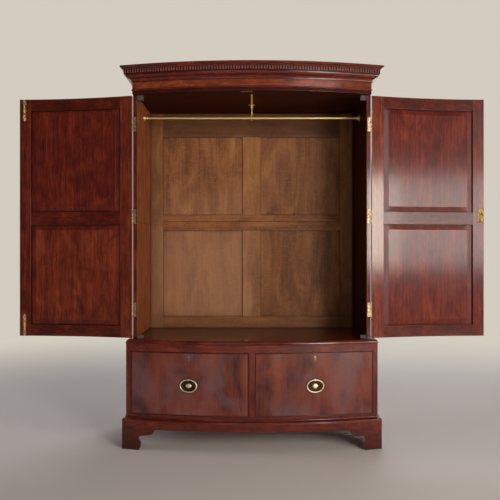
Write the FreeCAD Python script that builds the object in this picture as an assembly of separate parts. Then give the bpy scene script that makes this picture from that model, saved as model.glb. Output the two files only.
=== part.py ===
"""Bow-fronted mahogany linen press, converted to hang clothes.

An upper case with two doors stands on a chest with two drawers and a plinth on bracket feet.
Millimetres: X runs along the front, Y from front to back, Z up from the floor.  The work is laid
out with y = 0 at the front corners of the upper case.  Each node is moved as it is exported, so
that the origin is the centre of the footprint on the floor.
"""
import FreeCAD, Part
import math
import os

from FreeCAD import Vector

os.makedirs("parts", exist_ok=True)

# ---------------------------------------------------------------- driving dimensions
# Upper case
CASE_HALF_WIDTH = 630.0
CASE_DEPTH = 530.0              # front corners to the back
BOW_SAG = 90.0                  # the front stands this far forward of its corners
CASE_SIDE = 22.0
CASE_BOARD = 20.0               # floor board and ceiling board
CASE_OPENING = 1290.0           # height between them
SIDE_GROOVE_Z = 619.0           # joint line in the side boards, above the floor board
SIDE_GROOVE = 1.5

# Back of the upper case
BACK_THICK = 22.0
BACK_STILE = 75.0
BACK_MUNTIN = 108.0
BACK_TOP_RAIL = 141.0
BACK_MIDDLE_RAIL = 93.0
BACK_MIDDLE_RAIL_Z = 586.0      # its underside above the floor board
BACK_BOTTOM_RAIL = 69.0
BACK_RAIL_JOINT_Z = 54.0        # joint line in the middle rail, above its underside
BACK_PANEL = 8.0
BACK_PANEL_SET = 6.0            # panel face behind the face of the frame
TONGUE = 8.0                    # panels reach this far into their frames

# Doors
DOOR_GAP = 1.0                  # door to the edge of the case
DOOR_THICK = 24.0
DOOR_MARGIN = 2.0               # clearance above and below
MEETING_GAP = 3.0
HINGE_STILE = 66.0
MEETING_STILE = 60.0
DOOR_RAIL = 61.0
DOOR_MIDDLE_RAIL = 67.0
DOOR_MIDDLE_RAIL_Z = 605.0      # its underside above the bottom of the door
DOOR_OPEN = 181.0               # angle at which the doors stand, degrees
DOOR_PANEL_TONGUE = 6.0
DOOR_PANEL_FRONT = 8.0          # outer face of the panel behind the outer face of the frame
DOOR_FIELD = 4.0                # field behind the inner face of the frame
DOOR_BEVEL = 28.0
DOOR_BEVEL_STEP = 1.0
DOOR_MOULD = 10.0               # width of the moulding round each outer panel
DOOR_MOULD_SET = 1.0            # moulding behind the outer face of the frame
DOOR_MOULD_SWELL = 0.7          # its curve passes at this share of its width and height

# Butt hinges
HINGE_ABOVE_FLOOR = 153.0        # centre of the low hinge above the floor board
HINGE_BELOW_CEILING = 155.0      # centre of the high hinge below the ceiling board
HINGE_ABOVE_MIDDLE = 1.0         # centre of the middle hinge above the middle of the opening
HINGE_LENGTH = 76.0
HINGE_LEAF = 18.0
HINGE_PLATE = 2.0
HINGE_KNUCKLE_R = 3.2
HINGE_PIN_R = 1.45
HINGE_PIN_FIT = 0.05
HINGE_CLEAR = 0.3               # knuckles clear of the corner of the case
HINGE_SPLIT = 0.3
HINGE_FINIAL_R = 2.6
HINGE_FINIAL = 2.5
HINGE_FINIAL_TIP_R = 0.7
KNUCKLES = 5
SCREW_HEAD_R = 3.2
SCREW_R = 1.6
SCREW_HEAD = 1.7
SCREW_LENGTH = 14.0
SCREWS_PER_LEAF = 3
SCREW_STAGGER = 1.5             # screws either side of the middle of the leaf

# Door bolts, on the inner face of the left door
BOLT_INSET = 27.0               # from the free edge of the door
BOLT_PLATE = 2.0
BOLT_PLATE_WIDTH = 16.0
BOLT_PLATE_LENGTH = 112.0
BOLT_LOBE_R = 10.0
BOLT_ROD_R = 3.0
BOLT_ROD_LENGTH = 118.0
BOLT_ROD_STAND = 2.0            # rod clear of its plate
BOLT_FIT = 0.1
BOLT_STAPLE = 8.0
BOLT_STAPLE_WIDTH = 13.0
BOLT_STAPLES = (16.0, 71.0)     # from the tip end of the plate
BOLT_KNOB_Z = 100.0
BOLT_KNOB_R = 5.0
BOLT_KNOB_STEM = 9.0
BOLT_KNOB_STEM_R = 2.1
BOLT_TRAVEL = 12.0
BOLT_TIP = 2.0                  # tip short of the end of the door
HOLE_CLEAR = 0.8                # round a bolt in its hole
HOLE_SPARE = 3.0                # hole deeper than the bolt goes
KEEP_LENGTH = 58.0
KEEP_WIDTH = 18.0
KEEP_PLATE = 1.5
MOUNT_CLEAR = 0.05              # flat plate on a bowed face

# Door lock, on the inner face of the right door
LOCK_WIDTH = 32.0
LOCK_HEIGHT = 76.0
LOCK_DEPTH = 12.0
LOCK_PROUD = 0.8
LOCK_Z = 654.0                  # its middle above the bottom of the door
LOCK_BOLT_WIDTH = 6.0
LOCK_BOLT_HEIGHT = 22.0
LOCK_BOLT_LENGTH = 20.0
LOCK_BOLT_SET = 3.0             # bolt from the inner face of the door
LOCK_TRAVEL = 10.0
LOCK_FIT = 0.1
STRIKE_HEIGHT = 42.0
STRIKE_WIDTH = 14.0
STRIKE_PLATE = 1.5
KEY_SHAFT_R = 2.6
KEY_BIT = 3.4
KEY_DROP = 9.0
SCUTCHEON_PLATE = 1.0
DOOR_SCUTCHEON = (8.0, 15.0)    # half axes

# Hanging rail
RAIL_R = 8.0
RAIL_DROP = 75.0                # axis below the ceiling board
RAIL_Y = 250.0
SOCKET_FLANGE_R = 21.0
SOCKET_FLANGE = 4.0
SOCKET_CUP_R = 12.5
SOCKET_CUP = 20.0
HANGER_COLLAR_R = 13.0
HANGER_COLLAR = 12.0
HANGER_ROD_R = 4.0
HANGER_PLATE = 3.0
HANGER_ARM = 10.0               # width of the ceiling plate's arms
HANGER_CROSS = 36.0             # length across the cross
HANGER_STRAP_END = 12.0         # front arm ends this far in front of the corners of the case
CORNER_BLOCK = (32.0, 26.0, 27.0)
CORNER_BLOCK_LOW = 18.0

# Chest of drawers
CHEST_STEP_SIDE = 31.0          # wider than the upper case, each side
CHEST_STEP_FRONT = 15.0         # forward of the closed doors
CHEST_SIDE = 26.0
CHEST_BOTTOM = 14.0
DRAWER_OPENING = 328.0
CHEST_RAIL = 39.0
CHEST_RAIL_DEPTH = 80.0
CHEST_TOP = 18.0
CHEST_BACK = 12.0
MUNTIN_WIDTH = 31.0
MUNTIN_DEPTH = 24.0
PARTITION = 18.0
KICKER_WIDTH = 24.0
STOP_LENGTH = 40.0
STOP_WIDTH = 15.0
STOP_HEIGHT = 6.0
STOP_SPREAD = 190.0             # each side of the middle of a drawer
WAIST_BEAD = 3.0
WAIST_BEAD_HEIGHT = 6.0
WAIST_ROUND = 14.0
WAIST_CLEAR = 0.3

# Drawers
DRAWER_GAP = 1.5
DRAWER_RUN = 0.3
DRAWER_FRONT = 24.0
DRAWER_SIDE = 12.0
DRAWER_BOTTOM = 8.0
DRAWER_BOTTOM_Z = 10.0
DRAWER_SIDE_SHORT = 8.0         # sides lower than the front
DRAWER_BACK_GAP = 38.0          # drawer to the inside of the back
COCK_BEAD = 4.0
COCK_BEAD_DEPTH = 12.0
COCK_BEAD_PROUD = 1.8

# Drawer furniture
HANDLE_Z = 157.0                # above the bottom board
PLATE_HALF = (45.0, 33.5)
PLATE = 2.0
STEP_HALF = (33.0, 23.5)
STEP = 1.5
BOSS_HALF = (15.0, 11.0)
BOSS = 5.0
BOSS_ROUND = 2.5
RING_HALF = (43.0, 31.5)        # centre line of the wire
RING_R = 3.2
RING_STAND = 0.4
LUG_WIDTH = 8.0
LUG_WALL = 2.4
LUG_FIT = 0.4
STUD_R = 3.0
NUT_R = 6.5
NUT = 4.0
STUD_SPARE = 1.0                # stud past its nut
KEYHOLE_DROP = 28.0             # keyhole below the top of the opening
DRAWER_SCUTCHEON = (5.5, 12.0)
DRAWER_LOCK_WIDTH = 50.0
DRAWER_LOCK_HEIGHT = 42.0
DRAWER_LOCK_DEPTH = 11.0
DRAWER_BOLT_WIDTH = 24.0
DRAWER_BOLT_THICK = 4.8
DRAWER_BOLT_HEIGHT = 30.0
DRAWER_BOLT_SET = 3.0
DRAWER_BOLT_TRAVEL = 8.0

# Plinth
FOOT_HEIGHT = 110.0             # floor to the underside of the aprons
APRON_HEIGHT = 40.0
PLINTH_MOULD = 20.0
PLINTH_STEP = 19.0              # outside the chest, sides and front
PLINTH_BOARD = 22.0
PLINTH_LEDGE = 40.0             # moulding reaches this far under the chest
BRACKET_LENGTH = 194.0
FOOT_BLOCK = 40.0
PLINTH_FLAT = 4.0
PLINTH_LIP = 2.0
PLINTH_CURVE = 2.5              # depth of each curve of its moulding

# Cornice
FRIEZE_HEIGHT = 41.0
FRIEZE_THICK = 22.0
BED_HEIGHT = 39.0
BED_OUT = 34.0
BED_FILLET = 4.0
BED_CURVE = 3.0                 # depth of each curve of the bed moulding
DENTIL_HEIGHT = 21.0
DENTIL_OUT = 8.0                # blocks stand this far out of their strip
DENTIL_PITCH = 14.0
DENTIL_WIDTH = 9.0
CROWN_HEIGHT = 18.0
CROWN_STEP = 3.0                # foot of the crown past the faces of the dentils
CROWN_OUT = 58.5
CROWN_FLAT = 6.0
CROWN_CURVE = 1.4
BEAD = 5.0
BEAD_HEIGHT = 9.0
DUST_BOARD = 8.0

# Bracket outline in shares of its length and of the height of the foot; a step with four numbers
# is an arc, given by a point on it and by its end
BRACKET_CURVE = (
    (0.0, 0.0), (0.464, 0.0), (0.525, 0.26, 0.480, 0.49), (0.492, 0.64, 0.572, 0.69),
    (0.680, 0.715, 0.784, 0.745), (0.850, 0.80, 0.890, 0.92), (0.935, 0.985, 1.0, 1.0),
)

# ---------------------------------------------------------------- places worked out from them
BOW_R = (CASE_HALF_WIDTH ** 2 + BOW_SAG ** 2) / (2 * BOW_SAG)
BOW_Y = BOW_R - BOW_SAG         # the axis of all the bowed faces stands at (0, BOW_Y)

DOOR_IN_R = BOW_R + DOOR_GAP
DOOR_OUT_R = DOOR_IN_R + DOOR_THICK
CASE_R = DOOR_OUT_R             # floor board, ceiling board and frieze
CHEST_R = CASE_R + CHEST_STEP_FRONT
CHEST_HALF_WIDTH = CASE_HALF_WIDTH + CHEST_STEP_SIDE
PLINTH_R = CHEST_R + PLINTH_STEP
PLINTH_HALF_WIDTH = CHEST_HALF_WIDTH + PLINTH_STEP
INNER_HALF_WIDTH = CASE_HALF_WIDTH - CASE_SIDE
HINGE_REACH = HINGE_KNUCKLE_R + HINGE_CLEAR     # pin outside the corner of the case
DENTIL_TIP = BED_OUT + DENTIL_OUT
CROWN_FOOT = DENTIL_TIP + CROWN_STEP
INNER_DEPTH = CASE_DEPTH - BACK_THICK

Z_APRON = FOOT_HEIGHT
Z_PLINTH_MOULD = Z_APRON + APRON_HEIGHT
Z_CHEST = Z_PLINTH_MOULD + PLINTH_MOULD
Z_DRAWER = Z_CHEST + CHEST_BOTTOM
Z_RAIL = Z_DRAWER + DRAWER_OPENING
Z_WAIST = Z_RAIL + CHEST_RAIL
Z_FLOOR = Z_WAIST + CASE_BOARD
Z_CEILING = Z_FLOOR + CASE_OPENING
Z_FRIEZE = Z_CEILING + CASE_BOARD
Z_BED = Z_FRIEZE + FRIEZE_HEIGHT
Z_DENTIL = Z_BED + BED_HEIGHT
Z_CROWN = Z_DENTIL + DENTIL_HEIGHT
Z_TOP = Z_CROWN + CROWN_HEIGHT
Z_DOOR = Z_FLOOR + DOOR_MARGIN
DOOR_HEIGHT = CASE_OPENING - 2 * DOOR_MARGIN

FRONT_EDGE = BOW_Y - CASE_R - CROWN_OUT
FOOTPRINT_Y = (FRONT_EDGE + CASE_DEPTH) / 2

MARGIN = 10.0                   # how far cutting shapes reach past what they cut
MITRE_REACH = 250.0             # length of a mitre cut past the moulding, each way
MITRE_FILL = 40.0               # depth behind a moulding that its core then cuts away
SAME_POINT = 1e-6
ARC_CHORDS = 5                  # chords to an arc of a moulding's profile
BOW_SWEEP = math.degrees(math.asin((PLINTH_HALF_WIDTH + 4 * MARGIN) / CHEST_R))

nodes = {}


# ---------------------------------------------------------------- drawing helpers
def add(node, *shapes):
    nodes.setdefault(node, []).extend(shapes)


def bow_y(radius, x):
    """Depth of a bowed face at x."""
    return BOW_Y - math.sqrt(radius ** 2 - x ** 2)


def box(x0, x1, y0, y1, z0, z1):
    return Part.makeBox(x1 - x0, y1 - y0, z1 - z0, Vector(x0, y0, z0))


def rod(start, end, radius):
    return Part.makeCylinder(radius, (end - start).Length, start, end - start)


def closed_face(path, place):
    """Face inside a path of (u, v) steps; a step with four numbers is an arc through a point."""
    edges = []
    here = place(*path[0])
    for step in [*path[1:], path[0]]:
        there = place(*step[-2:])
        if len(step) == 4:
            edges.append(Part.Arc(here, place(*step[:2]), there).toShape())
        elif here.distanceToPoint(there) > SAME_POINT:
            edges.append(Part.LineSegment(here, there).toShape())
        here = there
    return Part.Face(Part.Wire(edges))


def prism_x(path, x0, x1):
    return closed_face(path, lambda y, z: Vector(x0, y, z)).extrude(Vector(x1 - x0, 0, 0))


def prism_y(path, y0, y1):
    return closed_face(path, lambda x, z: Vector(x, y0, z)).extrude(Vector(0, y1 - y0, 0))


def prism_z(path, z0, z1):
    return closed_face(path, lambda x, y: Vector(x, y, z0)).extrude(Vector(0, 0, z1 - z0))


def bow_sweep(path):
    """Solid of a (radius, z) section carried round the axis of the bow."""
    face = closed_face(path, lambda radius, z: Vector(0, BOW_Y - radius, z))
    axis = Vector(0, BOW_Y, 0)
    face.rotate(axis, Vector(0, 0, 1), -BOW_SWEEP)
    return face.revolve(axis, Vector(0, 0, 1), 2 * BOW_SWEEP)


def bow_board(x0, x1, radius, y_back, z0, z1):
    """Flat board with a bowed front edge."""
    middle = (x0 + x1) / 2
    path = [(x0, y_back), (x0, bow_y(radius, x0)),
            (middle, bow_y(radius, middle), x1, bow_y(radius, x1)), (x1, y_back)]
    return prism_z(path, z0, z1)


def bow_slab(x0, x1, inner_r, outer_r, z0, z1):
    """Upright curved slab between two bowed faces."""
    middle = (x0 + x1) / 2
    edges = [
        Part.Arc(Vector(x0, bow_y(outer_r, x0), z0), Vector(middle, bow_y(outer_r, middle), z0),
                 Vector(x1, bow_y(outer_r, x1), z0)).toShape(),
        Part.LineSegment(Vector(x1, bow_y(outer_r, x1), z0),
                         Vector(x1, bow_y(inner_r, x1), z0)).toShape(),
        Part.Arc(Vector(x1, bow_y(inner_r, x1), z0), Vector(middle, bow_y(inner_r, middle), z0),
                 Vector(x0, bow_y(inner_r, x0), z0)).toShape(),
        Part.LineSegment(Vector(x0, bow_y(inner_r, x0), z0),
                         Vector(x0, bow_y(outer_r, x0), z0)).toShape(),
    ]
    return Part.Face(Part.Wire(edges)).extrude(Vector(0, 0, z1 - z0))


def ogee(start, end, hollow):
    """Two arcs that join start to end in an S; hollow is the depth of each curve."""
    (u0, v0), (u1, v1) = start, end
    run_u, run_v = u1 - u0, v1 - v0
    length = math.hypot(run_u, run_v)
    side_u, side_v = run_v / length * hollow, -run_u / length * hollow
    middle = (u0 + run_u / 2, v0 + run_v / 2)
    return [(u0 + run_u / 4 - side_u, v0 + run_v / 4 - side_v, *middle),
            (u0 + run_u * 3 / 4 + side_u, v0 + run_v * 3 / 4 + side_v, u1, v1)]


def mirrored(shape):
    return shape.mirror(Vector(0, 0, 0), Vector(1, 0, 0))


def on_bow(shape, radius, x):
    """Puts a shape, drawn with x along the face and y into it, on a bowed face at x."""
    shape.rotate(Vector(0, 0, 0), Vector(0, 0, 1), math.degrees(math.asin(x / radius)))
    shape.translate(Vector(x, bow_y(radius, x), 0))
    return shape


def oval(half_x, half_z, y0, y1):
    """Oval plate that faces along Y."""
    major, minor = max(half_x, half_z), min(half_x, half_z)
    ellipse = Part.Ellipse(Vector(0, 0, 0), major, minor)
    face = Part.Face(Part.Wire(ellipse.toShape()))
    if half_z > half_x:
        face.rotate(Vector(0, 0, 0), Vector(0, 0, 1), 90)
    face.rotate(Vector(0, 0, 0), Vector(1, 0, 0), 90)
    face.translate(Vector(0, y0, 0))
    return face.extrude(Vector(0, y1 - y0, 0))


def keyhole(y0, y1):
    """Cutting shape of a keyhole, with the shaft at the origin."""
    slot = box(-KEY_BIT / 2, KEY_BIT / 2, y0, y1, -KEY_DROP, 0)
    return rod(Vector(0, y0, 0), Vector(0, y1, 0), KEY_SHAFT_R).fuse(slot).removeSplitter()


def faceted(profile):
    """The same profile with each arc cut into short chords."""
    points = [profile[0]]
    for step in profile[1:]:
        if len(step) == 4:
            arc = Part.Arc(Vector(*points[-1]), Vector(*step[:2]), Vector(*step[2:])).toShape()
            points += [(point.x, point.y) for point in arc.discretize(ARC_CHORDS + 1)[1:]]
        else:
            points.append(step)
    return points


def moulding_run(profile, half_width, radius, inner_half_width, inner_r):
    """Front, left and right lengths of a moulding that meet at mitres.

    The profile is a path of (out, z) steps, where out is measured from half_width at the sides
    and from radius at the front.
    """
    points = faceted(profile)
    z0, z1 = points[0][1], points[-1][1]

    def section(base, inner):
        return [(inner, z0), *[(base + out, z) for out, z in points], (inner, z1)]

    def corner(out):
        return Vector(half_width + out, bow_y(radius + out, half_width + out), 0)

    reach = max(out for out, z in points)
    inner, outer = corner(inner_half_width - half_width), corner(reach)
    along = (outer - inner).normalize() * MITRE_REACH
    near, far = inner - along, outer + along
    front_y = min(far.y, BOW_Y - radius - reach) - MARGIN
    region = prism_z([(-near.x, near.y), (-far.x, far.y), (-far.x, front_y), (far.x, front_y),
                      (far.x, far.y), (near.x, near.y)], z0 - MARGIN, z1 + MARGIN)
    core = bow_board(-inner_half_width, inner_half_width, inner_r, CASE_DEPTH + MARGIN,
                     z0 - MARGIN, z1 + MARGIN)
    front = bow_sweep(section(radius, inner_r - MITRE_FILL)).common(region).cut(core)
    right = prism_y(section(half_width, inner_half_width - MITRE_FILL), front_y, CASE_DEPTH)
    right = right.cut(region).cut(core)
    return front, mirrored(right), right


# ---------------------------------------------------------------- plinth
def make_plinth():
    board_r = PLINTH_R - PLINTH_BOARD
    board_half = PLINTH_HALF_WIDTH - PLINTH_BOARD
    front, left, right = moulding_run([(0, 0), (0, Z_PLINTH_MOULD)],
                                      PLINTH_HALF_WIDTH, PLINTH_R, board_half, board_r)
    bracket = [tuple(value * (BRACKET_LENGTH if index % 2 == 0 else FOOT_HEIGHT)
                     for index, value in enumerate(step)) for step in BRACKET_CURVE]
    bracket += [(BRACKET_LENGTH, Z_PLINTH_MOULD), (0, Z_PLINTH_MOULD)]

    def placed(origin, way):
        """Bracket outline that starts at origin and runs up or down its axis."""
        return [tuple(origin + way * value if index % 2 == 0 else value
                      for index, value in enumerate(step)) for step in bracket]

    corner_y = bow_y(PLINTH_R, PLINTH_HALF_WIDTH)
    front_y = bow_y(PLINTH_R, 0) - MARGIN
    back_y = CASE_DEPTH - PLINTH_BOARD
    apron_half = PLINTH_HALF_WIDTH - BRACKET_LENGTH
    for side, run in ((-1, left), (1, right)):
        front_foot = prism_y(placed(side * PLINTH_HALF_WIDTH, -side), front_y, CASE_DEPTH)
        front_side = prism_x(placed(corner_y, 1), -PLINTH_R, PLINTH_R)
        rear_side = prism_x(placed(CASE_DEPTH, -1), -PLINTH_R, PLINTH_R)
        add("front_feet", front.common(front_foot), run.common(front_side))
        rear_bracket = prism_y(placed(side * PLINTH_HALF_WIDTH, -side), back_y, CASE_DEPTH)
        add("rear_feet", run.common(rear_side), rear_bracket.cut(run))
        add("plinth_aprons", run.common(box(-PLINTH_R, PLINTH_R, corner_y + BRACKET_LENGTH,
                                            CASE_DEPTH - BRACKET_LENGTH,
                                            Z_APRON, Z_PLINTH_MOULD)))
        x0, x1 = sorted((side * board_half, side * (board_half - FOOT_BLOCK)))
        block_y = bow_y(board_r, board_half - FOOT_BLOCK) + FOOT_BLOCK
        add("foot_blocks", bow_board(x0, x1, board_r, block_y, 0, Z_PLINTH_MOULD),
            box(x0, x1, back_y - FOOT_BLOCK, back_y, 0, Z_PLINTH_MOULD))
    add("plinth_aprons",
        front.common(box(-apron_half, apron_half, front_y, CASE_DEPTH,
                         Z_APRON, Z_PLINTH_MOULD)),
        box(-apron_half, apron_half, back_y, CASE_DEPTH, Z_APRON, Z_PLINTH_MOULD))

    shoulder = PLINTH_STEP - PLINTH_LIP
    profile = [(0, Z_PLINTH_MOULD), (0, Z_PLINTH_MOULD + PLINTH_FLAT),
               *ogee((0, Z_PLINTH_MOULD + PLINTH_FLAT), (-shoulder, Z_CHEST - PLINTH_LIP),
                      -PLINTH_CURVE),
               (-shoulder, Z_CHEST)]
    ledge_half = CHEST_HALF_WIDTH - PLINTH_LEDGE
    add("plinth_moulding",
        *moulding_run(profile, PLINTH_HALF_WIDTH, PLINTH_R, ledge_half, CHEST_R - PLINTH_LEDGE),
        box(-ledge_half, ledge_half, CASE_DEPTH - PLINTH_LEDGE, CASE_DEPTH,
            Z_PLINTH_MOULD, Z_CHEST))


# ---------------------------------------------------------------- chest
def make_chest():
    inner = CHEST_HALF_WIDTH - CHEST_SIDE
    back_y = CASE_DEPTH - CHEST_BACK
    rail_r = CHEST_R - CHEST_RAIL_DEPTH
    for side in (-1, 1):
        x0, x1 = sorted((side * inner, side * CHEST_HALF_WIDTH))
        add("chest_sides", bow_board(x0, x1, CHEST_R, CASE_DEPTH, Z_CHEST, Z_WAIST))
    add("chest_bottom_board", bow_board(-inner, inner, CHEST_R, back_y, Z_CHEST, Z_DRAWER))
    add("chest_back", box(-inner, inner, back_y, CASE_DEPTH, Z_CHEST, Z_WAIST))
    add("chest_top_board",
        bow_board(-inner, inner, rail_r, back_y, Z_WAIST - CHEST_TOP, Z_WAIST))

    rail = bow_slab(-inner, inner, rail_r, CHEST_R, Z_RAIL, Z_WAIST)
    lock_x = drawer_middle()
    mortise_x = DRAWER_BOLT_WIDTH / 2 + HOLE_CLEAR
    mortise_y0 = -DRAWER_BOLT_SET - DRAWER_BOLT_THICK - HOLE_CLEAR
    for side in (-1, 1):
        mortise = box(-mortise_x, mortise_x, mortise_y0, -DRAWER_BOLT_SET + HOLE_CLEAR,
                      Z_RAIL - MARGIN, Z_RAIL + DRAWER_BOLT_TRAVEL + HOLE_SPARE)
        rail = rail.cut(on_bow(mortise, CHEST_R - DRAWER_FRONT, side * lock_x))
    add("chest_top_rail", rail)

    half = MUNTIN_WIDTH / 2
    muntin_r = CHEST_R - MUNTIN_DEPTH
    add("drawer_partition",
        bow_slab(-half, half, muntin_r, CHEST_R, Z_DRAWER, Z_RAIL),
        bow_board(-PARTITION / 2, PARTITION / 2, muntin_r, back_y, Z_DRAWER, Z_RAIL))
    for x0, x1 in ((-inner, -inner + KICKER_WIDTH), (-KICKER_WIDTH, KICKER_WIDTH),
                   (inner - KICKER_WIDTH, inner)):
        add("drawer_guides", bow_board(x0, x1, rail_r, back_y, Z_RAIL, Z_WAIST - CHEST_TOP))
    stop_r = CHEST_R - DRAWER_FRONT - DRAWER_RUN
    for middle in (-lock_x - STOP_SPREAD, -lock_x + STOP_SPREAD,
                   lock_x - STOP_SPREAD, lock_x + STOP_SPREAD):
        add("drawer_guides",
            bow_slab(middle - STOP_LENGTH / 2, middle + STOP_LENGTH / 2, stop_r - STOP_WIDTH,
                     stop_r, Z_DRAWER, Z_DRAWER + STOP_HEIGHT))

    bead_top = Z_WAIST + WAIST_BEAD_HEIGHT
    centre = (-WAIST_ROUND, bead_top)
    diagonal = WAIST_ROUND * math.sqrt(0.5)
    profile = [
        (0, Z_WAIST), (WAIST_BEAD, Z_WAIST + WAIST_BEAD_HEIGHT / 2, 0, bead_top),
        (centre[0] + diagonal, centre[1] + diagonal, centre[0], Z_FLOOR),
    ]
    add("waist_moulding",
        *moulding_run(profile, CHEST_HALF_WIDTH, CHEST_R, CASE_HALF_WIDTH + WAIST_CLEAR,
                      CASE_R + WAIST_CLEAR))


# ---------------------------------------------------------------- drawers
def drawer_middle():
    """Distance of the middle of a drawer from the middle of the press."""
    return (CHEST_HALF_WIDTH - CHEST_SIDE + MUNTIN_WIDTH / 2) / 2


def make_left_drawer():
    """Left-hand drawer, with its furniture; returns the shapes of each node."""
    middle = -drawer_middle()
    x0 = -(CHEST_HALF_WIDTH - CHEST_SIDE) + DRAWER_GAP
    x1 = -MUNTIN_WIDTH / 2 - DRAWER_GAP
    z0, z1 = Z_DRAWER + DRAWER_GAP, Z_RAIL - DRAWER_GAP
    back_r = CHEST_R - DRAWER_FRONT
    back_y = CASE_DEPTH - CHEST_BACK - DRAWER_BACK_GAP
    handle_z = Z_DRAWER + HANDLE_Z

    # Box
    side_z0, side_z1 = Z_DRAWER + DRAWER_RUN, z1 - DRAWER_SIDE_SHORT
    floor_z = side_z0 + DRAWER_BOTTOM_Z
    inner_x0, inner_x1 = x0 + DRAWER_SIDE, x1 - DRAWER_SIDE
    box_shapes = [
        bow_board(x0, inner_x0, back_r, back_y, side_z0, side_z1),
        bow_board(inner_x1, x1, back_r, back_y, side_z0, side_z1),
        box(inner_x0, inner_x1, back_y - DRAWER_SIDE, back_y, floor_z + DRAWER_BOTTOM, side_z1),
        bow_board(inner_x0, inner_x1, back_r, back_y, floor_z, floor_z + DRAWER_BOTTOM),
    ]

    # Cock beads: uprights run the full height, the others fit between them
    bead_r0 = CHEST_R - COCK_BEAD_DEPTH + COCK_BEAD_PROUD
    bead_r1 = CHEST_R + COCK_BEAD_PROUD
    beads = [
        bow_slab(x0, x0 + COCK_BEAD, bead_r0, bead_r1, z0, z1),
        bow_slab(x1 - COCK_BEAD, x1, bead_r0, bead_r1, z0, z1),
        bow_slab(x0 + COCK_BEAD, x1 - COCK_BEAD, bead_r0, bead_r1, z0, z0 + COCK_BEAD),
        bow_slab(x0 + COCK_BEAD, x1 - COCK_BEAD, bead_r0, bead_r1, z1 - COCK_BEAD, z1),
    ]
    front = bow_slab(x0, x1, back_r, CHEST_R, z0, z1)
    for bead in beads:
        front = front.cut(bead)

    # Handle plate, with its stud and nut
    step_y = -MOUNT_CLEAR - PLATE
    plate = oval(*PLATE_HALF, step_y, -MOUNT_CLEAR)
    plate = plate.fuse(oval(*STEP_HALF, step_y - STEP, step_y))
    boss = oval(*BOSS_HALF, step_y - STEP - BOSS, step_y - STEP)
    rim = min(boss.Edges, key=lambda edge: edge.CenterOfMass.y)
    boss = boss.makeFillet(BOSS_ROUND, [rim])
    ring_y = step_y - STEP - RING_STAND - RING_R
    eye_r = RING_R + LUG_FIT
    eye_z = RING_HALF[1]
    lug = box(-LUG_WIDTH / 2, LUG_WIDTH / 2, ring_y, step_y,
              eye_z - eye_r - LUG_WALL, eye_z + eye_r + LUG_WALL)
    nose = rod(Vector(-LUG_WIDTH / 2, ring_y, eye_z), Vector(LUG_WIDTH / 2, ring_y, eye_z),
               eye_r + LUG_WALL)
    eye = rod(Vector(-LUG_WIDTH, ring_y, eye_z), Vector(LUG_WIDTH, ring_y, eye_z), eye_r)
    stud_end = DRAWER_FRONT + NUT + STUD_SPARE
    stud = rod(Vector(0, step_y, 0), Vector(0, stud_end, 0), STUD_R)
    plate = plate.fuse([boss, lug, nose, stud]).removeSplitter().cut(eye)
    hexagon = Part.makePolygon([Vector(NUT_R * math.cos(math.radians(60 * i)), DRAWER_FRONT,
                                       NUT_R * math.sin(math.radians(60 * i)))
                                for i in range(7)])
    nut = Part.Face(hexagon).extrude(Vector(0, NUT, 0)).cut(stud)

    # Ring: a wire bent to an oval
    ellipse = Part.Ellipse(Vector(0, 0, 0), *RING_HALF).toShape()
    path = Part.Wire(ellipse)
    path.rotate(Vector(0, 0, 0), Vector(1, 0, 0), 90)
    section = Part.Wire(Part.makeCircle(RING_R, Vector(RING_HALF[0], 0, 0), Vector(0, 0, 1)))
    ring = path.makePipeShell([section], True, True)
    ring.translate(Vector(0, ring_y, 0))

    furniture = []
    for shape in (plate, nut, ring):
        shape.translate(Vector(0, 0, handle_z))
        furniture.append(on_bow(shape, CHEST_R, middle))
    plate, nut, ring = furniture
    hole = rod(Vector(0, -MARGIN, handle_z), Vector(0, DRAWER_FRONT + MARGIN, handle_z), STUD_R)
    front = front.cut(on_bow(hole, CHEST_R, middle))

    # Lock, let into the top of the back of the front
    key_z = Z_RAIL - KEYHOLE_DROP
    case = box(-DRAWER_LOCK_WIDTH / 2, DRAWER_LOCK_WIDTH / 2, -DRAWER_LOCK_DEPTH, LOCK_PROUD,
               z1 - DRAWER_LOCK_HEIGHT, z1)
    bolt_y1 = -DRAWER_BOLT_SET
    bolt_y0 = bolt_y1 - DRAWER_BOLT_THICK
    bolt_z0 = z1 - DRAWER_BOLT_HEIGHT
    bolt = box(-DRAWER_BOLT_WIDTH / 2, DRAWER_BOLT_WIDTH / 2, bolt_y0, bolt_y1, bolt_z0, z1)
    channel = box(-DRAWER_BOLT_WIDTH / 2 - LOCK_FIT, DRAWER_BOLT_WIDTH / 2 + LOCK_FIT,
                  bolt_y0 - LOCK_FIT, bolt_y1 + LOCK_FIT, bolt_z0, z1 + MARGIN)
    hole = keyhole(-DRAWER_FRONT - MARGIN, bolt_y0)
    hole.translate(Vector(0, 0, key_z))
    lock_r = CHEST_R - DRAWER_FRONT
    recess = on_bow(case.copy(), lock_r, middle)
    front = front.cut(recess).cut(on_bow(hole.copy(), lock_r, middle))
    lock = on_bow(case.cut(channel).cut(hole), lock_r, middle)
    bolt = on_bow(bolt, lock_r, middle)
    scutcheon = oval(*DRAWER_SCUTCHEON, -MOUNT_CLEAR - SCUTCHEON_PLATE, -MOUNT_CLEAR)
    scutcheon = scutcheon.cut(keyhole(-MARGIN, MARGIN))
    scutcheon.translate(Vector(0, 0, key_z))
    scutcheon = on_bow(scutcheon, CHEST_R, middle)

    return {
        "drawer_front": [front],
        "drawer_box": box_shapes,
        "drawer_cock_beads": beads,
        "drawer_handle_plate": [plate, nut],
        "drawer_handle_ring": [ring],
        "drawer_lock": [lock, scutcheon],
        "drawer_lock_bolt": [bolt],
    }


# ---------------------------------------------------------------- hinges
def hinge_corner(shape):
    """Puts a shape drawn at the corner of the case on the left-hand front corner."""
    return on_bow(shape, BOW_R, -CASE_HALF_WIDTH)


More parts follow.
